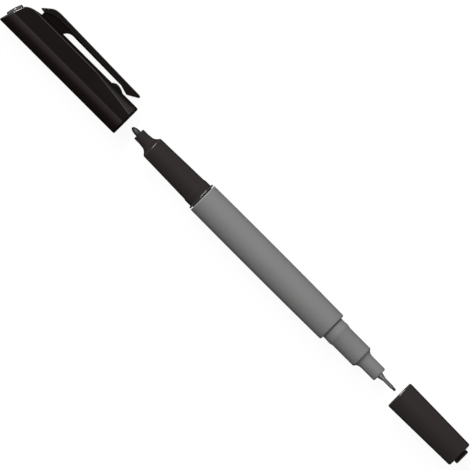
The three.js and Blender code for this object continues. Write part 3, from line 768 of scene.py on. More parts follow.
def loft(rings):
    """A closed skin over rings that all have the same number of points."""
    count = len(rings[0])
    points = [point for ring in rings for point in ring]
    first, last = len(points), len(points) + 1
    points.append(sum(rings[0], Vector()) / count)
    points.append(sum(rings[-1], Vector()) / count)
    tail = (len(rings) - 1) * count
    faces = []
    for i in range(count):
        after = (i + 1) % count
        for row in range(0, tail, count):
            faces.append((row + i, row + after, row + count + after, row + count + i))
        faces.append((first, after, i))
        faces.append((last, tail + i, tail + after))
    return mesh_from(points, faces)


# Sizes that follow from the ones above


# How fast the long cap's end leans back with the height, and how late its crown starts
SLANT_POWER = 1.1
CROWN_POWER = 13


class Layout:
    """Places and radii worked out from the scene's sizes, and where the frame has each body."""

    def __init__(self, scene):
        self.barrel = scene.marker_barrel
        self.bullet = scene.marker_bullet_section
        self.fine = scene.marker_fine_section
        self.long_cap = scene.marker_long_cap
        self.clip = scene.marker_clip
        self.short_cap = scene.marker_short_cap
        self.seal = scene.marker_seal
        self.bevel = scene.marker_bevel
        self.finishes = scene.marker_finishes
        self.find_places()
        self.work_out_bullet_section()
        self.work_out_barrel()
        self.work_out_long_cap_end()
        self.work_out_clip()
        self.work_out_fine_end()

    def find_places(self):
        """Finds the barrel's and the caps' places in the frame, and the marker's axis."""
        low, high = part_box("barrel")
        self.axis = Vector((0.0, (low.y + high.y) / 2, (low.z + high.z) / 2))
        self.barrel_place = self.axis + Vector((low.x, 0, 0))
        self.long_cap_place = self.axis + Vector((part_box("bullet_cap")[1].x, 0, 0))
        self.short_cap_place = self.axis + Vector((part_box("fine_cap")[0].x, 0, 0))

    def work_out_barrel(self):
        """Bores and radii of the barrel and the caps."""
        self.barrel_bore = self.barrel.radius - self.barrel.fine_drop - self.barrel.wall
        self.spigot_radius = self.barrel_bore - self.seal.fit_gap
        self.long_bore = self.bullet.root_radius + self.seal.cap_gap
        self.long_mouth_bore = self.bullet.collar_radius + self.seal.cap_gap
        self.long_radius = self.long_mouth_bore + self.long_cap.wall
        self.short_mouth_bore = self.fine.bead_radius + self.seal.cap_gap
        self.short_radius = self.short_mouth_bore + self.short_cap.wall
        self.short_end_radius = self.short_radius - self.short_cap.draft
        self.short_bore = self.fine.body_radius + self.seal.cap_gap

    def work_out_bullet_section(self):
        """Places along the bullet section, out from the barrel."""
        part = self.bullet
        self.body_root = part.flange_thickness + part.collar_length
        self.body_tip = self.body_root + part.body_length
        self.shoulder_at = self.body_tip + self.bevel.ease
        self.flare_tip = self.body_tip + part.flare_length
        self.nozzle_face = self.flare_tip + part.nozzle_length
        self.bullet_tip = self.nozzle_face + part.nib_shown

    def work_out_long_cap_end(self):
        """Depth of the long cap's core, and the place and the lean of its plug."""
        part = self.long_cap
        step = 0.1 * MILLIMETRE
        rise = self.setback(step) - self.setback(-step)
        self.core_depth = part.length - self.setback(0) - part.end_wall
        self.plug_lean = math.atan(rise / (2 * step)) - part.plug_tilt
        self.plug_at = self.setback(0) - part.length

    def work_out_clip(self):
        """Places and heights of the clip's main points, and the slope of its long run."""
        part, end = self.clip, -self.long_cap.length
        self.clip_heel = (end + part.root_at, self.long_radius + part.tail_rise)
        self.clip_crest = (end + part.crest_at, self.long_radius + part.crest_rise)
        self.clip_hook = (-part.hook_from_mouth, self.long_radius + part.hook_gap)
        self.clip_tip = (-part.tip_from_mouth, self.long_radius + part.tip_rise)
        fall = self.clip_crest[1] - self.clip_tip[1]
        self.clip_slope = fall / (self.clip_tip[0] - self.clip_crest[0])

    def work_out_fine_end(self):
        """Places along the fine section, out from the barrel."""
        part = self.fine
        self.bead_end = part.collar_length + part.bead_length
        self.fine_body_end = self.bead_end + part.body_length
        self.shoulder_end = self.fine_body_end + part.shoulder_length
        self.fine_face = self.shoulder_end + part.nozzle_length
        self.cone_tip = self.fine_face + part.cone_length
        self.needle_tip = self.cone_tip + part.tube_length
        self.fine_tip = self.needle_tip + part.nib_shown

    def bevel_drop(self, slope):
        """How far a bevel of the usual width falls at a slope."""
        return self.bevel.width * math.tan(slope)

    def setback(self, height):
        """How far the long cap's end stands back at a height: a lean, then a crown."""
        share = max(height + self.long_radius, 0) / (2 * self.long_radius)
        slant = self.long_cap.end_slant * share**SLANT_POWER
        return slant + self.long_cap.crown_run * share**CROWN_POWER

    def panel_top(self, x):
        """Angle of the panels' upper edge, which falls towards the long cap's mouth."""
        part = self.long_cap
        share = min(max((-x - part.mouth_edge) / (part.panel_sweep - part.mouth_edge), 0), 1)
        return part.panel_mouth + share * (part.panel_upper - part.panel_mouth)

    def lie(self):
        """Angle below level at which the clip points when the marker lies on it and its cap."""
        edge = self.clip.edge
        side = self.clip.width / 2 - edge
        up = self.long_radius + self.clip.crest_rise - edge
        return math.asin((self.long_radius - edge) / math.hypot(side, up)) - math.atan(side / up)

    def roll(self):
        """Turn about the marker's axis that takes the caps' own frame, clip up, to where it lies."""
        return -(math.pi / 2 + self.lie())

    def clip_direction(self):
        return Vector((0.0, math.cos(self.lie()), -math.sin(self.lie())))


# Pieces, as plain mesh objects that are handed to the frame


def make_turned(layout, name, profile, place, finish, lean=0.0, lean_place=0.0, sides=TURNED_SIDES):
    """A turned piece from its profile, as a plain mesh object."""
    tree = bpy.data.node_groups.get("Turned piece") or turned_tree()
    values = {
        "Sides": sides,
        "Place": place,
        "Lean": lean,
        "Lean Place": lean_place,
        "Roll": layout.roll(),
        "Finish": finish,
    }
    piece = run_tree(name, tree, profile_mesh(profile), values)
    tidy_mesh(piece.data)
    return piece


def assign(piece, body, slot, *nodes):
    """Hands a finished piece to the frame."""
    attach(piece, body)
    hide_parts(*nodes)


# Finishes


# Depths of a moulding's grain
POLISHED_GRAIN = 0.001 * MILLIMETRE
FINE_GRAIN = 0.004 * MILLIMETRE
SATIN_GRAIN = 0.005 * MILLIMETRE


def skin(finish, tint, mottle, roughness, grain=FINE_GRAIN):
    """Base, roughness and bump of a moulding: flow mottle, spark grain, drag marks and smudges."""
    flow = finish.noise(260, 3, finish.stretched(0.35, 1.0))
    base = finish.mix(flow, shaded(tint, 1 - mottle), shaded(tint, 1 + mottle))
    drags = finish.noise(2600, 2, finish.stretched(0.02, 1.0))
    smudge = finish.range(finish.noise(90, 2), 0.35, 0.7, roughness - 0.03, roughness + 0.05)
    spark = finish.bump(finish.noise(9000, 2), grain)
    bump = finish.bump(drags, 0.5 * grain, below=spark)
    return base, smudge + (drags - 0.5) * 0.08, bump


# How much paler the polished ring at the bullet end is, which paints a highlight on it, and how shiny its
# coat is
HIGHLIGHT_PAINT = 1.45
POLISH_COAT = 0.5


def barrel_finish(layout):
    """Satin grey, shinier at the ring on the barrel's edge at its bullet end, where a paler grey paints a
    highlight.
    """
    finish = Finish("satin_grey")
    part = layout.barrel
    polish_highlight_at = layout.barrel_place.x + part.bullet_seam + part.polish_highlight_width / 2
    polish_highlight = finish.rings([(polish_highlight_at, part.polish_highlight_width / 2)])
    base, dull, bump = skin(finish, layout.finishes.barrel, mottle=0.02, roughness=0.45)
    # Painted highlight: the ring's grey is paler than the barrel's
    base = finish.mix(polish_highlight, base, shaded(layout.finishes.barrel, HIGHLIGHT_PAINT))
    return finish.finished(finish.plastic(base, dull, bump, specular=0.2, coat=polish_highlight * POLISH_COAT))


# Coat on the polished bevels, and how far it reaches past half their width
BEVEL_COAT = 0.45
BEVEL_REACH = 1.3


def black_finish(layout):
    """Satin black with polished bevels at the shoulder, the flange and the short cap's mouth."""
    finish = Finish("satin_black")
    start = layout.barrel_place.x
    half = layout.bevel.width / 2
    mouth = layout.short_cap_place.x + layout.short_cap.mouth_edge
    places = [
        start - layout.shoulder_at - half,
        start - layout.bullet.flange_thickness + layout.bullet.flange_edge / 2 + half,
        mouth + half,
    ]
    polished = finish.rings([(place, half * BEVEL_REACH) for place in places]) * BEVEL_COAT
    skinned = skin(finish, layout.finishes.moulding, mottle=0.05, roughness=0.6, grain=SATIN_GRAIN)
    return finish.finished(finish.plastic(*skinned, specular=0.06, coat=polished, fade=(0.62, 0.9)))


def seal_finish(layout):
    """Pale plastic as it comes from the mould."""
    finish = Finish("natural_moulding")
    skinned = skin(finish, layout.finishes.seal, mottle=0.02, roughness=0.45, grain=SATIN_GRAIN)
    return finish.finished(finish.plastic(*skinned, specular=0.4))


def long_cap_finish(finishes):
    """Black that is polished on flat faces and rims and satin elsewhere; its round side below the panels
    is a lighter black that paints a light band there, and its recesses are matt without reflection, which
    paints their shade.
    """
    finish = Finish("panelled_black")
    rim = finish.mark("rim")
    satin = skin(finish, finishes.long_cap, mottle=0.05, roughness=0.5)
    # Painted light: the round side below the panels gets a lighter black than the rest of the cap
    painted_band_skin = skin(finish, finishes.under, mottle=0.05, roughness=0.5)
    polish = skin(finish, finishes.long_cap, mottle=0.05, roughness=0.18, grain=POLISHED_GRAIN)
    side = finish.plastic(*satin, specular=0.22, coat=rim)
    under = finish.plastic(*painted_band_skin, specular=0.2, coat=rim, fade=(0.0, 0.32))
    flat = finish.plastic(*polish, specular=0.03, coat=rim)
    base, _, bump = satin
    # Painted shade: the rib's sides under the band and the mouth's rounding are matt and without
    # reflection, which darkens them as shade would
    matt = {"Roughness": 0.8, "Specular IOR Level": 0.0}
    sunk = finish.surface({"Base Color": base, "Normal": bump, **matt})
    whole = finish.blend(finish.mark("under"), side, under)
    whole = finish.blend(finish.mark("flat"), whole, flat)
    return finish.finished(finish.blend(finish.mark("sunk"), whole, sunk))


def gloss_finish(finishes):
    """Polished black of the plug: a clear face with hair-fine wiping marks."""
    finish = Finish("polished_black")
    wipes = finish.noise(5200, 2, finish.stretched(1.0, 0.06))
    flow = finish.noise(500, 2)
    base = finish.mix(flow, shaded(finishes.gloss, 0.9), shaded(finishes.gloss, 1.1))
    dull = finish.range(wipes, 0.3, 0.75, 0.06, 0.10)
    bump = finish.bump(finish.noise(1500, 1), 0.0005 * MILLIMETRE)
    return finish.finished(finish.plastic(base, dull, bump, specular=1.0, fade=(0.5, 0.9)))


def fibre_finish(name, tint, fibre_scale, roughness, specular, fade=USUAL_FADE):
    """Pressed fibre that is wet with ink: strands along the axis, glossy between them."""
    finish = Finish(name)
    strands = finish.noise(fibre_scale, 4, finish.stretched(0.05, 1.0))
    pores = finish.noise(fibre_scale * 0.6, 2)
    base = finish.mix(strands, shaded(tint, 0.55), shaded(tint, 1.5))
    dull = finish.range(strands, 0.3, 0.7, roughness - 0.08, roughness + 0.14)
    bump = finish.bump(strands, 0.02 * MILLIMETRE)
    bump = finish.bump(pores, 0.01 * MILLIMETRE, below=bump)
    return finish.finished(finish.plastic(base, dull, bump, specular, fade=fade))


# Shades of the needle's steel: stained, dulled on the tube, painted shade on the cone's lower side, and
# painted dark reflection where it turns away
STAINED = 0.72
DULLED = 0.55
PAINTED_LOW_SHADE = 0.1
PAINTED_RIM_SHADE = 0.12

# Lengths over which the painted shade on the cone's lower side ends: towards the tube, where the duller
# tube also starts, below the axis and above it
TUBE_RAMP = 0.3 * MILLIMETRE
SHADE_BELOW = 0.2 * MILLIMETRE
SHADE_ABOVE = 0.3 * MILLIMETRE


def steel_finish(layout):
    """Drawn steel: fine rings from turning, a dulled tube, painted shade low on the cone, and a painted
    dark reflection where it turns away.
    """
    finish = Finish("drawn_steel")
    steel = layout.finishes.steel
    rings = finish.noise(9000, 2, finish.stretched(1.0, 0.03))
    stain = finish.noise(700, 3)
    base = finish.mix(finish.range(stain, 0.45, 0.7), steel, shaded(steel, STAINED))
    along = finish.node("ShaderNodeSeparateXYZ", None, {0: finish.place})
    cone_tip = layout.barrel_place.x + layout.barrel.length + layout.cone_tip
    on_tube = finish.range(along, cone_tip - TUBE_RAMP, cone_tip)
    middle = layout.axis.y
    # Painted shade: the cone and shank are darker below the axis, on the side away from the lamps
    low = finish.range(along.beside("Y"), middle - SHADE_BELOW, middle + SHADE_ABOVE, 1.0, 0.0)
    base = finish.mix(on_tube, base, shaded(steel, DULLED))
    base = finish.mix(low * (1.0 - on_tube), base, shaded(steel, PAINTED_LOW_SHADE))
    shared = {
        "Roughness": finish.range(rings, 0.3, 0.7, 0.22, 0.36),
        "Metallic": 1.0,
        "Normal": finish.bump(rings, 0.002 * MILLIMETRE),
    }
    bright = finish.surface({**shared, "Base Color": base})
    # Painted dark reflection: the steel's colour darkens where its surface turns away from the eye
    dark = finish.surface({**shared, "Base Color": finish.rgba(shaded(steel, PAINTED_RIM_SHADE))})
    return finish.finished(finish.fading((0.15, 0.6), bright, dark))


def film_finish(finishes):
    """Thin film that is wound over the reservoir, with the lines of its wrap."""
    finish = Finish("wrapped_film")
    wraps = finish.noise(900, 2, finish.stretched(1.0, 0.1))
    base = finish.mix(wraps, shaded(finishes.film, 0.86), finishes.film)
    dull = finish.range(wraps, 0.3, 0.7, 0.16, 0.3)
    bump = finish.bump(wraps, 0.01 * MILLIMETRE)
    return finish.finished(finish.surface({"Base Color": base, "Roughness": dull, "Normal": bump}))


def shared_finish(name, make, layout):
    """A finish that several pieces use, made once."""
    return bpy.data.materials.get(name) or make(layout)


# Profiles and shapes of the pieces


def barrel_profile(layout):
    """Slightly swollen tube with a bevel at its bullet end and a rounded edge at its fine end."""
    part = layout.barrel
    bore = layout.barrel_bore
    bullet_radius = part.radius - part.bullet_drop
    fine_radius = part.radius - part.fine_drop
    fine_edge_at = part.length - part.fine_edge
    bend_at = (part.crest_at + fine_edge_at) / 2
    seam = part.bullet_seam
    bevel_foot = 0.04 * MILLIMETRE
    start = (seam + part.bullet_edge, bullet_radius)
    crest = (part.crest_at, part.radius)
    fine_edge = (fine_edge_at, fine_radius)
    face = (part.length, fine_radius - part.fine_edge)
    return ring_profile([
        (seam, bore),
        (seam, bullet_radius - part.bullet_edge, bevel_foot),
        (*start, CRISP),
        *bend(start, (part.crest_at / 2, part.radius), crest),
        *bend(crest, (bend_at, part.radius), fine_edge),
        *bend(fine_edge, (part.length, fine_radius), face, steps=6),
        (part.length, bore),
    ])


# Shares: of the bevel's slope in the easing before it, of the flare's length where its curve is
# level, and of the nozzle's length over which it narrows
EASE_SLOPE = 0.4
FLARE_LEVEL = 0.55
NOZZLE_NARROWING = 0.3

# Run and fall of the soft step between the shoulder's bevel and the flare
STEP_RUN = 0.15 * MILLIMETRE
STEP_FALL = 0.09 * MILLIMETRE


def flange_corners(layout):
    """The flange's rim, from the barrel's side to its bevelled front edge."""
    part = layout.bullet
    radius = layout.barrel.radius - layout.barrel.bullet_drop - part.flange_drop
    bevelled = radius - layout.bevel_drop(layout.bevel.flange)
    bevel_end = part.flange_thickness - part.flange_edge / 2
    bevel_start = bevel_end - layout.bevel.width
    return [
        (layout.seal.seam_gap, radius, CRISP),
        *crowned((bevel_start, radius), (bevel_end, bevelled), layout.bevel.spread),
        (part.flange_thickness, bevelled, part.flange_edge / 2),
    ]


def flare_corners(layout):
    """The shoulder's bevel and the curve that takes the body to the nozzle."""
    part = layout.bullet
    slope = layout.bevel.shoulder
    ease_fall = EASE_SLOPE * layout.bevel.ease * math.tan(slope)
    bevel_start = (layout.shoulder_at, part.tip_radius - ease_fall)
    bevel_end = (bevel_start[0] + layout.bevel.width, bevel_start[1] - layout.bevel_drop(slope))
    start = (bevel_end[0] + STEP_RUN, bevel_end[1] - STEP_FALL)
    level = (layout.body_tip + FLARE_LEVEL * part.flare_length, part.nozzle_root)
    end = (layout.flare_tip, part.nozzle_root)
    return [*crowned(bevel_start, bevel_end, layout.bevel.spread), start, *bend(start, level, end)]


def bullet_section_profile(layout):
    """Spigot, flange, snap collar, tapered body, bevelled shoulder, flare and nozzle."""
    part = layout.bullet
    nib_hole = part.nib_radius + layout.seal.fit_gap
    narrowed_at = layout.flare_tip + NOZZLE_NARROWING * part.nozzle_length
    chamber = part.tip_radius - part.wall
    chamber_end = layout.body_tip - 1.0 * MILLIMETRE
    return ring_profile(backwards([
        (-part.spigot_length, layout.barrel.chamber_radius),
        (-part.spigot_length, layout.spigot_radius, SOFT),
        (layout.seal.seam_gap, layout.spigot_radius),
        *flange_corners(layout),
        (part.flange_thickness, part.collar_radius, LIGHT),
        (layout.body_root - part.collar_ramp, part.collar_radius, SOFT),
        (layout.body_root, part.root_radius, SOFT),
        (layout.body_tip, part.tip_radius),
        *flare_corners(layout),
        (narrowed_at, part.nozzle_radius),
        (layout.nozzle_face, part.nozzle_radius, part.nozzle_edge),
        (layout.nozzle_face, nib_hole, LIGHT),
        (layout.body_tip, nib_hole),
        (chamber_end, chamber),
        (part.flange_thickness, chamber),
        (part.flange_thickness, layout.barrel.chamber_radius),
    ]))


def bullet_nib_profile(layout):
    """Straight stem with a rounded tip."""
    part = layout.bullet
    shoulder = layout.bullet_tip - part.nib_taper
    points = [(-part.nib_depth, 0), (-part.nib_depth, part.nib_radius)]
    steps = 18
    for step in range(steps + 1):
        turn = step / steps * math.pi / 2
        points.append((shoulder + part.nib_taper * math.sin(turn), part.nib_radius * math.cos(turn)))
    points[-1] = (layout.bullet_tip, 0)
    return backwards(points)


# Shares: of the snap bead's length where its top lies and where its fall bends, and of the
# shoulder's length where its curve bends
BEAD_TOP = 0.45
BEAD_BEND = 0.7
SHOULDER_BEND = 0.3

# Roundings of the shoulder's upper edge, and of its lower edge and the needle's hole
UPPER_EDGE = 0.12 * MILLIMETRE
LOWER_EDGE = 0.06 * MILLIMETRE


def bead_corners(layout):
    """The fine section's plain collar and the snap bead that the short cap grips."""
    part = layout.fine
    top = (part.collar_length + BEAD_TOP * part.bead_length, part.bead_radius)
    fall = (part.collar_length + BEAD_BEND * part.bead_length, part.bead_radius)
    end = (layout.bead_end, part.body_radius)
    return [
        (layout.seal.seam_gap, part.collar_radius),
        (part.collar_length, part.collar_radius),
        (*top, SOFT),
        *bend(top, fall, end, steps=6),
    ]


def fine_shoulder_corners(layout):
    """The bevel and the curve that take the fine section's body to its nozzle."""
    part = layout.fine
    start = layout.fine_body_end
    lower = (start + part.shoulder_edge, part.body_radius - part.shoulder_edge)
    level = (start + SHOULDER_BEND * part.shoulder_length, part.nozzle_radius)
    end = (layout.shoulder_end, part.nozzle_radius)
    return [
        (start, part.body_radius, UPPER_EDGE),
        (*lower, LOWER_EDGE),
        *bend(lower, level, end),
    ]


def fine_section_profile(layout):
    """Spigot, plain collar, snap bead, straight body, curved shoulder and nozzle."""
    part = layout.fine
    start = layout.barrel.length
    hole = part.shank_radius + layout.seal.fit_gap
    hole_end = layout.fine_face - part.shank_length - layout.seal.fit_gap
    rod_hole = part.rod_radius + layout.seal.fit_gap
    chamber = part.body_radius - part.wall
    chamber_end = layout.fine_body_end - 0.5 * MILLIMETRE
    corners = [
        (-part.spigot_length, layout.barrel.chamber_radius),
        (-part.spigot_length, layout.spigot_radius, SOFT),
        (layout.seal.seam_gap, layout.spigot_radius),
        *bead_corners(layout),
        *fine_shoulder_corners(layout),
        (layout.fine_face, part.nozzle_radius, part.nozzle_edge),
        (layout.fine_face, hole, LOWER_EDGE),
        (hole_end, hole),
        (hole_end, rod_hole),
        (layout.shoulder_end - part.nozzle_edge, rod_hole),
        (chamber_end, chamber),
        (0, chamber),
        (0, layout.barrel.chamber_radius),
    ]
    return ring_profile([(start + corner[0], *corner[1:]) for corner in corners])


def needle_profile(layout):
    """Shank in the nozzle, cone, and the thin tube round the nib."""
    part = layout.fine
    start = layout.barrel.length
    bore = part.tube_radius - part.tube_wall
    shank_end = layout.fine_face - part.shank_length
    corners = [
        (shank_end, bore),
        (shank_end, part.shank_radius, EASED),
        (layout.fine_face, part.shank_radius, LIGHT),
        (layout.cone_tip, part.tube_radius, SOFT),
        (layout.needle_tip, part.tube_radius, CRISP),
        (layout.needle_tip, bore),
    ]
    return ring_profile([(start + corner[0], *corner[1:]) for corner in corners])


def fine_nib_profile(layout):
    """Thin nib with a ball end, and the thicker rod that feeds it."""
    part = layout.fine
    start = layout.barrel.length
    rod_tip = layout.fine_face - part.shank_length - layout.seal.fit_gap
    ball = (layout.fine_tip - part.nib_radius, part.nib_radius)
    corners = [
        (-layout.bullet.nib_depth, 0),
        (-layout.bullet.nib_depth, part.rod_radius),
        (rod_tip, part.rod_radius),
        (rod_tip, part.nib_radius),
        ball,
        *bend(ball, (layout.fine_tip, part.nib_radius), (layout.fine_tip, 0)),
    ]
    return [(start + x, radius) for x, radius in corners]


# Steps of each stretch of the long cap's section
ARC_STEPS = {"lower": 44, "upper": 26, "panel": 8, "crease": 5}


def on_round(radius, turn):
    """A point on a circle."""
    return Vector((radius * math.cos(turn), radius * math.sin(turn)))


def half_section(radius, lower, upper, crease):
    """Right half of the long cap's section, from its lowest point to its highest."""
    step = crease / radius
    low_corner, high_corner = on_round(radius, lower), on_round(radius, upper)
    along = (high_corner - low_corner).normalized() * crease
    points = []
    for i in range(ARC_STEPS["lower"] + 1):
        share = i / ARC_STEPS["lower"]
        points.append(on_round(radius, -math.pi / 2 + share * (lower - step + math.pi / 2)))
    points += [Vector(p) for p in bend(points[-1], low_corner, low_corner + along, ARC_STEPS["crease"])]
    for i in range(1, ARC_STEPS["panel"]):
        points.append(points[-1].lerp(high_corner - along, 1 / (ARC_STEPS["panel"] + 1 - i)))
    points.append(high_corner - along)
    rounded = on_round(radius, upper + step)
    points += [Vector(p) for p in bend(points[-1], high_corner, rounded, ARC_STEPS["crease"])]
    for i in range(1, ARC_STEPS["upper"] + 1):
        share = i / ARC_STEPS["upper"]
        points.append(on_round(radius, upper + step + share * (math.pi / 2 - upper - step)))
    return points


def cap_ring(layout, radius, upper, x, slanted=False):
    """One ring of the long cap, which follows the slant of its end when that is asked for."""
    part = layout.long_cap
    crease = part.crease * radius / layout.long_radius
    right = half_section(radius, part.panel_lower, upper, crease)
    left = [Vector((-p.x, p.y)) for p in right[-2:0:-1]]
    ring = []
    for point in right + left:
        setback = layout.setback(point.y) if slanted else 0.0
        ring.append(Vector((setback + x, point.x, point.y)))
    return ring


# Shares of the end's radius that have a ring, and steps of the roundings and along the panels
END_SHARES = (0.06, 0.2, 0.34, 0.48, 0.6, 0.7, 0.79, 0.86, 0.92, 0.965)
RIM_STEPS = 8
SWEEP_STEPS = 20


def end_rings(layout):
    """Rings of the slanted end: its face, its rounding and its polished bevel."""
    part = layout.long_cap
    radius = layout.long_radius
    upper = part.panel_upper
    rings = []
    for share in END_SHARES:
        inner = share * (radius - part.end_edge)
        rings.append(cap_ring(layout, inner, upper, -part.length, slanted=True))
    rim = part.end_edge - layout.bevel_drop(layout.bevel.end)
    corners = []
    for step in range(RIM_STEPS + 1):
        turn = step / RIM_STEPS * math.pi / 2
        corners.append((rim * (1 - math.cos(turn)), rim * math.sin(turn) - part.end_edge))
    corners += crowned(corners[-1], (rim + layout.bevel.width, 0.0), layout.bevel.spread)[1:]
    for inset, lift in corners:
        rings.append(cap_ring(layout, radius + lift, upper, inset - part.length, slanted=True))
    return rings


def long_cap_body(layout):
    """Outer form of the long cap: slanted end, crown, and panels that fade at the mouth."""
    part = layout.long_cap
    radius = layout.long_radius
    rings = end_rings(layout)
    for step in range(SWEEP_STEPS + 1):
        share = 1 - step / SWEEP_STEPS
        x = -part.mouth_edge - share * (part.panel_sweep - part.mouth_edge)
        rings.append(cap_ring(layout, radius, layout.panel_top(x), x))
    for step in range(1, RIM_STEPS + 1):
        turn = step / RIM_STEPS * math.pi / 2
        x = -part.mouth_edge * (1 - math.sin(turn))
        narrowed = radius - part.mouth_edge * (1 - math.cos(turn)) / 2
        rings.append(cap_ring(layout, narrowed, part.panel_mouth, x))
    return loft(rings)


# Details of the clip's band. Before the crest: where the straight back ends, how far below the
# crest, and where the curves over and under the crest bend. Past it: where the underside starts.
BACK_RUN = 3.4 * MILLIMETRE
BACK_FALL = 0.85 * MILLIMETRE
CREST_BEND = 2.4 * MILLIMETRE
HEEL_BEND = 2.2 * MILLIMETRE
UNDERSIDE_START = 0.8 * MILLIMETRE

# The tail's blunt edge: its lift, its lean and its height
TAIL_FOOT = 0.2 * MILLIMETRE
TAIL_LEAN = 0.15 * MILLIMETRE
TAIL_HEIGHT = 0.65 * MILLIMETRE

# The hook: its rounding, how far its slope starts above it, and how little its curve sags
HOOK_ROUND = 0.4 * MILLIMETRE
HOOK_LIFT = 0.8 * MILLIMETRE
SAG = 0.05 * MILLIMETRE


def band_back(layout):
    """Upper side of the clip's band: tail, straight back, crest, long run and rounded tip."""
    part = layout.clip
    tail = part.tail_at - layout.long_cap.length
    foot = layout.clip_heel[1]
    crest, crest_height = layout.clip_crest
    tip, tip_height = layout.clip_tip
    back = (crest - BACK_RUN, crest_height - BACK_FALL)
    back_bend = (crest - CREST_BEND, crest_height - SAG)
    before_tip = (tip - part.tip_round, tip_height + layout.clip_slope * part.tip_round)
    under_tip = (tip - part.tip_round / 3, tip_height - part.tip_round)
    return [
        (tail, foot + TAIL_FOOT),
        (tail + TAIL_LEAN, foot + TAIL_HEIGHT),
        back,
        *bend(back, back_bend, layout.clip_crest),
        before_tip,
        *bend(before_tip, layout.clip_tip, under_tip, steps=5),
    ]


def band_underside(layout):
    """Lower side of the clip's band: hook, the slope behind it, long run and heel."""
    part = layout.clip
    crest, crest_height = layout.clip_crest
    hook, hook_height = layout.clip_hook
    foot = (hook - part.hook_slope, hook_height + HOOK_LIFT)
    run = hook - 2 * part.hook_slope
    run_height = crest_height - layout.clip_slope * (run - crest) - part.thickness
    foot_bend = (hook - 1.5 * part.hook_slope, run_height - SAG)
    under_crest = (crest + UNDERSIDE_START, crest_height - part.thickness)
    heel_bend = (crest - HEEL_BEND, crest_height - part.thickness)
    return [
        (hook, hook_height, HOOK_ROUND),
        foot,
        *bend(foot, foot_bend, (run, run_height)),
        under_crest,
        *bend(under_crest, heel_bend, layout.clip_heel),
    ]


# Share of the cap's wall that the clip and the bump reach into
ANCHOR = 0.8

# How far before the crest the rib starts, and how far it stays below the band's middle
RIB_RUN = 1.0 * MILLIMETRE
RIB_DROP = 0.3 * MILLIMETRE


def clip_rib(layout):
    """Side view of the narrower rib under the band, with the pedestal on the cap."""
    part, radius = layout.clip, layout.long_radius
    root = layout.clip_heel[0]
    root_end = root + part.root_length
    crest, crest_height = layout.clip_crest
    tip_height = layout.clip_tip[1]
    hook = layout.clip_hook[0]
    inside = radius - ANCHOR * layout.long_cap.wall
    below_band = part.thickness / 2 + RIB_DROP
    underside = radius + part.finger_gap
    gap_start = (root_end + part.gap_curve, underside)
    gap_bend = (root_end + part.gap_curve / 3, underside)
    return [
        (root, inside),
        (root, radius + part.tail_rise + part.tail_lift / 2),
        (crest - RIB_RUN, crest_height - below_band),
        (hook, tip_height - below_band),
        (hook - part.hook_slope, underside - part.tail_lift / 4),
        gap_start,
        *bend(gap_start, gap_bend, (root_end, radius)),
        (root_end, inside),
    ]


# Shares of the grip bump's length: where its rise bends, its top, and where its fall bends
BUMP_SHARES = (0.2, 0.4, 0.7)


def grip_bump(layout):
    """Side view of the bump that the clip's hook rides over."""
    part, radius = layout.clip, layout.long_radius
    near = layout.clip_hook[0] - part.bump_spacing
    far = near - part.bump_length
    height = radius + part.bump_height
    inside = radius - ANCHOR * layout.long_cap.wall
    rise, top, fall = ((far + share * part.bump_length, height) for share in BUMP_SHARES)
    return [
        (far, inside),
        (far, radius),
        *bend((far, radius), rise, top, steps=8),
        *bend(top, fall, (near, radius), steps=8),
        (near, inside),
    ]


# The long cap's mouth: room behind the collar, its chamfer, and how far that reaches past it
COLLAR_ROOM = 0.5 * MILLIMETRE
MOUTH_CHAMFER = 0.14 * MILLIMETRE
MOUTH_PAST = 0.02 * MILLIMETRE


def long_cap_core(layout):
    """What is cored out of the long cap: mouth, bore and the cone behind the crown."""
    part = layout.long_cap
    mouth_depth = layout.bullet.collar_length + COLLAR_ROOM
    chamfered = layout.long_mouth_bore + MOUTH_CHAMFER
    return [
        (-layout.core_depth, 0),
        (-layout.core_depth, part.core_end),
        (-layout.core_depth + part.cone_run, layout.long_bore),
        (-mouth_depth, layout.long_bore),
        (-mouth_depth + layout.seal.cap_gap, layout.long_mouth_bore),
        (MOUTH_PAST - MOUTH_CHAMFER, layout.long_mouth_bore),
        (MOUTH_PAST, chamfered),
        (CUT_PAST, chamfered),
        (CUT_PAST, 0),
    ]


def plug_socket(layout):
    """What is cut out of the slanted end: the plug's seat and the hole for its spigot."""
    part = layout.long_cap
    seat = part.plug_radius + layout.seal.fit_gap
    hole = part.plug_spigot + layout.seal.fit_gap
    outside = -4.0 * MILLIMETRE
    inside = part.end_wall + CUT_PAST
    return [
        (outside, 0),
        (outside, seat),
        (part.plug_recess, seat),
        (part.plug_recess, hole),
        (inside, hole),
        (inside, 0),
    ]


def turned_tool(profile, lean=0.0, lean_place=0.0):
    """A turned shape in the cap's own frame, to cut with."""
    tree = bpy.data.node_groups.get("Turned piece") or turned_tree()
    values = {
        "Sides": TURNED_SIDES,
        "Place": (0, 0, 0),
        "Lean": lean,
        "Lean Place": lean_place,
        "Roll": 0.0,
    }
    carrier = run_tree("tool", tree, profile_mesh(profile), values)
    mesh = carrier.data
    mesh.materials.clear()
    bpy.data.objects.remove(carrier)
    tidy_mesh(mesh)
    return mesh


# A face counts as the rib's up to this far past its side, and as the clip's from this far out
RIB_SLACK = 0.02 * MILLIMETRE
CLIP_SLACK = 0.03 * MILLIMETRE

# How far sideways the faces of the clip's rounded edges point
EDGE_LEAST = 0.15
EDGE_MOST = 0.97

# Gloss of the long cap's edges: the clip's, the end's, the creases', and where these near the mouth
CLIP_RIM = 0.5
END_RIM = 0.75
CREASE_RIM = 0.7
MOUTH_RIM = 0.35

# How far a crease's gloss reaches, as a share of its half width
CREASE_REACH = 1.1


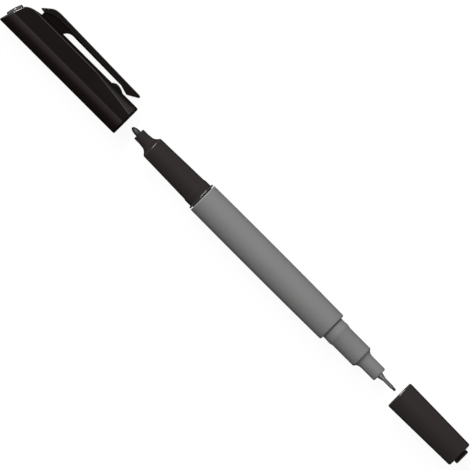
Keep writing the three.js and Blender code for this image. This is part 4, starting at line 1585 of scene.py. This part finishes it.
def clip_marks(face, layout):
    """Marks of a face on the clip or the bump: flat sides, sharp edges, and the rib's sides under the
    band, which get painted shade.
    """
    sideways = abs(face.normal.y)
    # The rib's sides get painted shade
    if abs(face.center.y) < layout.clip.rib_width / 2 + RIB_SLACK:
        return {"sunk": 1.0}
    return {"flat": 1.0, "rim": CLIP_RIM if EDGE_LEAST < sideways < EDGE_MOST else 0.0}


def shell_marks(face, layout):
    """Marks of a face on the long cap's shell, from where it lies between the panels' edges."""
    part = layout.long_cap
    place = face.center
    # The mouth's rounding, turned away from the lamps, gets painted shade
    if place.x > -part.mouth_edge:
        return {"sunk": 1.0}
    turn = math.atan2(place.z, abs(place.y))
    half = CREASE_REACH * part.crease / layout.long_radius
    upper = layout.panel_top(place.x)
    end_trim = part.end_edge + layout.bevel.width
    on_end = place.x < layout.setback(place.z) - part.length + end_trim
    marks = {"rim": END_RIM if on_end else 0.0}
    # Below the panels the face gets the lighter black that paints the light band there
    if turn < part.panel_lower - half:
        marks["under"] = 0.0 if on_end else 1.0
    elif turn < upper - half:
        marks["flat"] = 1.0
    elif turn < upper + half:
        marks["rim"] = CREASE_RIM if upper == part.panel_upper else MOUTH_RIM
    return marks


def mark_faces(mesh, layout):
    """Marks what each face of the long cap is, for its finish."""
    marks = {name: [] for name in ("flat", "under", "sunk", "rim")}
    for face in mesh.polygons:
        out = math.hypot(face.center.y, face.center.z)
        on_clip = out > layout.long_radius + CLIP_SLACK
        found = clip_marks(face, layout) if on_clip else shell_marks(face, layout)
        for name, values in marks.items():
            values.append(found.get(name, 0.0))
    for name, values in marks.items():
        mesh.attributes.new(name, "FLOAT", "FACE").data.foreach_set("value", values)


# The dome of the long cap's plug: share of its radius where it bends, and its soft lower edge
DOME_BEND = 0.7
EDGE_RUN = 0.1 * MILLIMETRE
EDGE_FALL = 0.12 * MILLIMETRE
EDGE_BEND = 0.02 * MILLIMETRE


def plug_profile(layout):
    """Domed button with a spigot through the cap's end wall."""
    part = layout.long_cap
    foot = part.plug_recess - layout.seal.fit_gap
    rim = foot - part.plug_rim
    rim_radius = part.plug_radius - layout.bevel_drop(layout.bevel.plug)
    top = (rim - part.plug_dome, 0)
    shoulder = (rim - EDGE_RUN, rim_radius - EDGE_FALL)
    shoulder_bend = (rim, rim_radius - EDGE_BEND)
    bevel_start = (rim + EDGE_RUN, rim_radius)
    bevel_end = (rim + EDGE_RUN + layout.bevel.width, part.plug_radius)
    return [
        top,
        *bend(top, (top[0], DOME_BEND * part.plug_radius), shoulder, steps=14),
        *bend(shoulder, shoulder_bend, (rim + LIGHT, rim_radius), steps=4),
        *crowned(bevel_start, bevel_end, layout.bevel.plug_spread),
        (foot, part.plug_radius),
        (foot, part.plug_spigot),
        (part.end_wall, part.plug_spigot),
        (part.end_wall, 0),
    ]


def short_cap_profile(layout):
    """Tapered shell with a bevelled mouth, a stepped bore and a hole for its plug."""
    part = layout.short_cap
    hole = part.plug_spigot + layout.seal.fit_gap
    bore = layout.short_bore
    step_at = layout.bead_end + layout.seal.cap_gap - part.standoff
    core_end = part.length - part.end_wall
    ease_end = (4 * part.mouth_edge, layout.short_radius)
    ease_bend = (2 * part.mouth_edge + layout.bevel.width, layout.short_radius)
    bevel_end = (part.mouth_edge + layout.bevel.width, layout.short_radius - part.mouth_edge)
    mouth_side = (part.mouth_edge, bevel_end[1] - layout.bevel_drop(layout.bevel.mouth))
    mouth_face = (0, mouth_side[1] - part.mouth_edge)
    return ring_profile([
        (0, layout.short_mouth_bore, EASED),
        mouth_face,
        *bend(mouth_face, (0, mouth_side[1]), mouth_side, steps=4),
        *crowned(mouth_side, bevel_end, layout.bevel.spread)[1:],
        *bend(bevel_end, ease_bend, ease_end, steps=8),
        (part.length, layout.short_end_radius, part.end_edge),
        (part.length, hole),
        (core_end, hole),
        (core_end, bore - part.bore_draft),
        (layout.fine_body_end - part.standoff, bore),
        (step_at, bore),
        (step_at - layout.seal.cap_gap, layout.short_mouth_bore),
    ])


def short_plug_profile(layout):
    """Flat button with a hollow spigot, which leaves room for the shut needle."""
    part = layout.short_cap
    foot = part.length + layout.seal.seam_gap
    top = part.length + part.plug_height
    spigot_end = foot - part.plug_depth
    blind_end = layout.fine_tip - part.standoff + layout.seal.tip_room / 2
    rod = layout.fine.rod_radius
    return outline([
        (blind_end, 0),
        (blind_end, rod),
        (spigot_end, rod),
        (spigot_end, part.plug_spigot),
        (foot, part.plug_spigot),
        (foot, part.plug_radius),
        (top, part.plug_radius, part.plug_edge),
        (top, 0),
    ])


def long_seal_profile(layout):
    """Cup round the shut nozzle, on a stem from the end wall: its profile and its fins."""
    part = layout.seal
    cap = layout.long_cap
    shut = -(layout.bullet.flange_thickness + part.seam_gap)
    bore = layout.bullet.nozzle_root + part.cap_gap
    outer = bore + part.wall
    mouth = -(layout.flare_tip + shut) - part.fit_gap
    floor = -(layout.bullet_tip + shut) - part.tip_room
    back = floor - part.floor
    reach = cap.end_wall * math.cos(layout.plug_lean) + cap.plug_spigot * math.sin(layout.plug_lean)
    stem_end = layout.plug_at + reach + part.fit_gap
    profile = outline([
        (stem_end, 0),
        (stem_end, part.stem_radius, EASED),
        (back, part.stem_radius),
        (back, outer, SOFT),
        (mouth, outer, SOFT),
        (mouth, bore, EASED),
        (floor, bore),
        (floor, 0),
    ])
    fins = {
        "Fin From": cap.cone_run - layout.core_depth,
        "Fin To": back + part.floor / 2,
        "Fin Inner": part.stem_radius - part.fin_thickness,
        "Fin Outer": layout.long_bore - part.fit_gap,
    }
    return profile, fins


def short_seal_profile(layout):
    """Sleeve round the shut nozzle that narrows round the needle: its profile and its fins."""
    part = layout.seal
    cap = layout.short_cap
    bore = layout.fine.nozzle_radius + part.cap_gap
    outer = bore + part.wall
    tunnel = layout.fine.shank_radius + part.tunnel_gap
    neck = tunnel + part.wall
    mouth = layout.shoulder_end - cap.standoff + part.tip_room
    step = layout.fine_face - cap.standoff + part.tip_room
    end = cap.length + part.seam_gap - cap.plug_depth - part.fit_gap
    profile = ring_profile([
        (mouth, bore, EASED),
        (mouth, outer, SOFT),
        (step + part.floor, outer, SOFT),
        (step + part.floor, neck),
        (end, neck),
        (end, tunnel),
        (step, tunnel),
        (step, bore),
    ])
    fins = {
        "Fin From": step + part.fit_gap,
        "Fin To": end - part.fit_gap,
        "Fin Inner": tunnel + part.wall / 2,
        "Fin Outer": layout.short_bore - cap.bore_draft - part.fit_gap,
    }
    return profile, fins


def make_seal(layout, name, profile, fins, place, finish):
    """A seal with its fins, as a plain mesh object."""
    tree = bpy.data.node_groups.get("Finned seal") or finned_tree()
    values = {
        "Sides": SMALL_SIDES,
        "Place": place,
        "Roll": layout.roll(),
        "Fins": layout.seal.fins,
        "Fin Thickness": layout.seal.fin_thickness,
        "Finish": finish,
        **fins,
    }
    piece = run_tree(name, tree, profile_mesh(profile), values)
    tidy_mesh(piece.data)
    return piece


# Operators, one for each piece or group of like pieces


class TWIN_OT_barrel(bpy.types.Operator):
    """Makes the grey barrel"""

    bl_idname = "twin_marker.barrel"
    bl_label = "Barrel"

    def execute(self, context):
        layout = Layout(context.scene)
        finish = shared_finish("satin_grey", barrel_finish, layout)
        piece = make_turned(layout, "moulded_barrel", barrel_profile(layout), layout.barrel_place, finish)
        assign(piece, "marker", "barrel_grey", "barrel")
        return {"FINISHED"}


class TWIN_OT_bullet_section(bpy.types.Operator):
    """Makes the black nib holder with its flange, collar and nozzle"""

    bl_idname = "twin_marker.bullet_section"
    bl_label = "Bullet section"

    def execute(self, context):
        layout = Layout(context.scene)
        finish = shared_finish("satin_black", black_finish, layout)
        profile = bullet_section_profile(layout)
        piece = make_turned(layout, "bullet_holder", profile, layout.barrel_place, finish)
        assign(piece, "marker", "black_moulding", "bullet_section")
        return {"FINISHED"}


class TWIN_OT_fine_section(bpy.types.Operator):
    """Makes the grey nib holder with its bead, shoulder and nozzle"""

    bl_idname = "twin_marker.fine_section"
    bl_label = "Fine section"

    def execute(self, context):
        layout = Layout(context.scene)
        finish = shared_finish("satin_grey", barrel_finish, layout)
        profile = fine_section_profile(layout)
        piece = make_turned(layout, "fine_holder", profile, layout.barrel_place, finish)
        assign(piece, "marker", "barrel_grey", "fine_section")
        return {"FINISHED"}


class TWIN_OT_nibs(bpy.types.Operator):
    """Makes the bullet nib, the fine nib and the fine nib's needle"""

    bl_idname = "twin_marker.nibs"
    bl_label = "Nibs and needle"

    def execute(self, context):
        layout = Layout(context.scene)
        place = layout.barrel_place
        tint = layout.finishes.nib
        fibre = fibre_finish("wet_fibre", tint, 7000, roughness=0.36, specular=0.45, fade=(0.1, 0.7))
        profile = bullet_nib_profile(layout)
        bullet = make_turned(layout, "bullet_tip", profile, place, fibre, sides=NIB_SIDES)
        assign(bullet, "marker", "nib_fibre", "bullet_nib")
        profile = fine_nib_profile(layout)
        fine = make_turned(layout, "fine_tip", profile, place, fibre, sides=SMALL_SIDES)
        assign(fine, "marker", "nib_fibre", "fine_nib")
        steel = steel_finish(layout)
        profile = needle_profile(layout)
        needle = make_turned(layout, "steel_needle", profile, place, steel, sides=NIB_SIDES)
        assign(needle, "marker", "needle_steel", "needle_sleeve")
        return {"FINISHED"}


class TWIN_OT_inner_parts(bpy.types.Operator):
    """Gives the reservoir, its film and the nib holder their finishes"""

    bl_idname = "twin_marker.inner_parts"
    bl_label = "Reservoir, film and holder"

    def execute(self, context):
        layout = Layout(context.scene)
        finishes = layout.finishes
        seal = shared_finish("natural_moulding", seal_finish, layout)
        rod = fibre_finish("ink_soaked_rod", finishes.ink, 5000, roughness=0.5, specular=0.4)
        given = {
            "ink_reservoir": rod,
            "reservoir_film": film_finish(finishes),
            "fine_nib_holder": seal,
        }
        for name, finish in given.items():
            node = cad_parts[name]
            node.data.materials.clear()
            node.data.materials.append(finish)
        return {"FINISHED"}


class TWIN_OT_long_cap(bpy.types.Operator):
    """Makes the long cap with its panels, pocket clip and grip bump"""

    bl_idname = "twin_marker.long_cap"
    bl_label = "Long cap"

    def execute(self, context):
        layout = Layout(context.scene)
        clip = layout.clip
        mesh = long_cap_body(layout)
        mesh = combined(mesh, slab(clip_rib(layout), clip.rib_width, clip.edge / 2), "UNION")
        band = slab(band_back(layout) + band_underside(layout), clip.width, clip.edge)
        mesh = combined(mesh, band, "UNION")
        mesh = combined(mesh, slab(grip_bump(layout), clip.bump_width, clip.edge), "UNION")
        mesh = combined(mesh, turned_tool(long_cap_core(layout)), "DIFFERENCE")
        socket = turned_tool(plug_socket(layout), layout.plug_lean, layout.plug_at)
        mesh = combined(mesh, socket, "DIFFERENCE")
        if not mesh.polygons:
            raise RuntimeError("the long cap came out empty")
        mark_faces(mesh, layout)
        mesh.transform(Matrix.Translation(layout.long_cap_place) @ Matrix.Rotation(layout.roll(), 4, "X"))
        tidy_mesh(mesh)
        mesh.materials.clear()
        mesh.materials.append(long_cap_finish(layout.finishes))
        assign(carry(mesh, "long_cap"), "bullet_cap_set", "black_moulding", "bullet_cap")
        return {"FINISHED"}


class TWIN_OT_long_cap_plug(bpy.types.Operator):
    """Makes the domed plug in the long cap's slanted end"""

    bl_idname = "twin_marker.long_cap_plug"
    bl_label = "Long cap's plug"

    def execute(self, context):
        layout = Layout(context.scene)
        piece = make_turned(
            layout,
            "long_cap_plug",
            plug_profile(layout),
            layout.long_cap_place,
            gloss_finish(layout.finishes),
            layout.plug_lean,
            layout.plug_at,
        )
        assign(piece, "bullet_cap_set", "black_gloss", "bullet_cap_plug")
        return {"FINISHED"}


class TWIN_OT_short_cap(bpy.types.Operator):
    """Makes the short tapered cap and its plug"""

    bl_idname = "twin_marker.short_cap"
    bl_label = "Short cap and plug"

    def execute(self, context):
        layout = Layout(context.scene)
        place = layout.short_cap_place
        finish = shared_finish("satin_black", black_finish, layout)
        cap = make_turned(layout, "short_cap", short_cap_profile(layout), place, finish)
        assign(cap, "fine_cap_set", "black_moulding", "fine_cap")
        plug = make_turned(layout, "short_cap_plug", short_plug_profile(layout), place, finish)
        assign(plug, "fine_cap_set", "black_moulding", "fine_cap_plug")
        return {"FINISHED"}


class TWIN_OT_seals(bpy.types.Operator):
    """Makes the finned seal inside each cap"""

    bl_idname = "twin_marker.seals"
    bl_label = "Seals"

    def execute(self, context):
        layout = Layout(context.scene)
        finish = shared_finish("natural_moulding", seal_finish, layout)
        profile, fins = long_seal_profile(layout)
        seal = make_seal(layout, "long_cap_seal", profile, fins, layout.long_cap_place, finish)
        assign(seal, "bullet_cap_set", "seal_plastic", "bullet_cap_seal")
        profile, fins = short_seal_profile(layout)
        seal = make_seal(layout, "short_cap_seal", profile, fins, layout.short_cap_place, finish)
        assign(seal, "fine_cap_set", "seal_plastic", "fine_cap_seal")
        return {"FINISHED"}


# Camera, lamps, sky and floor


def seen_rays(graph):
    """1 for rays from the camera and from gloss and glass, 0 for the others."""
    camera = graph.node("ShaderNodeLightPath", output="Is Camera Ray")
    seen = camera + camera.beside("Is Glossy Ray") + camera.beside("Is Transmission Ray")
    return seen.math("MINIMUM", 1.0)


def floor_finish(studio):
    """Pale floor that the camera and reflections see as white, with the marker's shadow on it."""
    finish = Finish("pale_floor")
    base = finish.mix(finish.noise(8, 2), shaded(studio.floor, 0.99), shaded(studio.floor, 1.01))
    paint = finish.node("ShaderNodeBsdfDiffuse", None, {"Color": base})
    strength = finish.range(seen_rays(finish), 0.0, 1.0, studio.floor_bounce, studio.floor_glow)
    glow = finish.node("ShaderNodeEmission", None, {"Strength": strength})
    return finish.finished(finish.node("ShaderNodeAddShader", None, {0: paint, 1: glow}))


def camera_axes(layout):
    """The camera's right, up and back directions: it looks square at the clip's plane."""
    clip = layout.clip_direction()
    along = Vector((1, 0, 0))
    back = along.cross(clip)
    return (along + clip).normalized(), (clip - along).normalized(), back


def turned_to(right, up, back, place):
    """A matrix that puts an object at a place with these axes."""
    turn = Matrix((right, up, back)).transposed().to_4x4()
    return Matrix.Translation(place) @ turn


# The camera sees from the first to the second of these shares of its distance
SEEN_FROM = 0.2
SEEN_TO = 20


def make_camera(layout, studio, target):
    """The camera, square to the clip's plane, at the distance that gives the view its width."""
    right, up, back = camera_axes(layout)
    data = bpy.data.cameras.new("camera")
    data.lens = studio.lens
    distance = studio.view_width / data.sensor_width * studio.lens
    data.clip_start = distance * SEEN_FROM
    data.clip_end = distance * SEEN_TO
    camera = bpy.data.objects.new("camera", data)
    bpy.context.scene.collection.objects.link(camera)
    camera.matrix_world = turned_to(right, up, back, target + back * distance)
    bpy.context.scene.camera = camera


def make_lamp(layout, studio, target, name, aside, across, along, power):
    """A lamp above the marker, towards the clip's side and the bullet end."""
    clip = layout.clip_direction()
    marker = Vector((1, 0, 0))
    lean = clip * math.tan(aside) - marker * math.tan(studio.lamp_forward)
    towards = (marker.cross(clip) + lean).normalized()
    side = towards.cross(marker).normalized()
    data = bpy.data.lights.new(name, "AREA")
    data.shape = "RECTANGLE"
    data.size = across
    data.size_y = along
    data.energy = power
    lamp = bpy.data.objects.new(name, data)
    bpy.context.scene.collection.objects.link(lamp)
    place = target + towards * studio.lamp_distance
    lamp.matrix_world = turned_to(side, towards.cross(side), towards, place)


def make_lamps(layout, studio, target):
    """A strip, whose image is the short bright lines on the bevels, and a soft box."""
    strip = (studio.strip_aside, studio.strip_length, studio.strip_width, studio.strip_power)
    box = (studio.box_aside, studio.box_side, studio.box_side, studio.box_power)
    make_lamp(layout, studio, target, "strip", *strip)
    make_lamp(layout, studio, target, "soft_box", *box)


def make_sky(studio):
    """Even light from all round, which the camera and reflections see as white."""
    world = bpy.data.worlds.new("sky")
    world.use_nodes = True
    sky = Graph(world.node_tree)
    world.node_tree.nodes.clear()
    strength = sky.range(seen_rays(sky), 0.0, 1.0, studio.sky, 1.0)
    light = sky.node("ShaderNodeBackground", None, {"Color": (1, 1, 1, 1), "Strength": strength})
    sky.node("ShaderNodeOutputWorld", None, {"Surface": light})
    bpy.context.scene.world = world


# How far the floor lies below the marker, so that they share no plane
FLOOR_DROP = 0.03 * MILLIMETRE


def make_floor(studio):
    """A wide floor just below the marker."""
    reach = studio.floor_reach
    corners = ((-reach, -reach), (reach, -reach), (reach, reach), (-reach, reach))
    mesh = mesh_from([(x, y, -FLOOR_DROP) for x, y in corners], [(0, 1, 2, 3)])
    mesh.materials.append(floor_finish(studio))
    carry(mesh, "studio_floor")


class TWIN_OT_stage(bpy.types.Operator):
    """Makes the camera, the lamps, the sky and the floor"""

    bl_idname = "twin_marker.stage"
    bl_label = "Stage"

    def execute(self, context):
        layout = Layout(context.scene)
        studio = context.scene.marker_studio
        aside = layout.clip_direction() * studio.aim_aside
        target = layout.axis + Vector((studio.aim_along, 0, 0)) - aside
        make_camera(layout, studio, target)
        make_lamps(layout, studio, target)
        make_sky(studio)
        make_floor(studio)
        context.scene.view_settings.view_transform = "Standard"
        return {"FINISHED"}


# The add-on


OPERATORS = (
    TWIN_OT_stage,
    TWIN_OT_barrel,
    TWIN_OT_bullet_section,
    TWIN_OT_fine_section,
    TWIN_OT_nibs,
    TWIN_OT_inner_parts,
    TWIN_OT_long_cap,
    TWIN_OT_long_cap_plug,
    TWIN_OT_short_cap,
    TWIN_OT_seals,
)

SETTINGS = {
    "marker_barrel": BarrelSizes,
    "marker_bullet_section": BulletSectionSizes,
    "marker_fine_section": FineSectionSizes,
    "marker_long_cap": LongCapSizes,
    "marker_clip": ClipSizes,
    "marker_short_cap": ShortCapSizes,
    "marker_seal": SealSizes,
    "marker_bevel": BevelSizes,
    "marker_finishes": Finishes,
    "marker_studio": StudioSettings,
}


class TWIN_PT_marker(bpy.types.Panel):
    """Lists the operators that make the marker"""

    bl_idname = "TWIN_PT_marker"
    bl_label = "Twin-tip marker"
    bl_space_type = "VIEW_3D"
    bl_region_type = "UI"
    bl_category = "Marker"

    def draw(self, context):
        for operator in OPERATORS:
            self.layout.operator(operator.bl_idname)


def register():
    """Adds the settings to the scene, and the operators and the panel to Blender."""
    for settings in SETTINGS.values():
        bpy.utils.register_class(settings)
    for name, settings in SETTINGS.items():
        setattr(bpy.types.Scene, name, bpy.props.PointerProperty(type=settings))
    for operator in OPERATORS:
        bpy.utils.register_class(operator)
    bpy.utils.register_class(TWIN_PT_marker)


def unregister():
    """Takes them away again."""
    bpy.utils.unregister_class(TWIN_PT_marker)
    for operator in reversed(OPERATORS):
        bpy.utils.unregister_class(operator)
    for name in SETTINGS:
        delattr(bpy.types.Scene, name)
    for settings in reversed(SETTINGS.values()):
        bpy.utils.unregister_class(settings)


def main():
    """Makes every piece."""
    register()
    for operator in OPERATORS:
        group, name = operator.bl_idname.split(".")
        getattr(getattr(bpy.ops, group), name)()


if __name__ == "__main__":
    main()
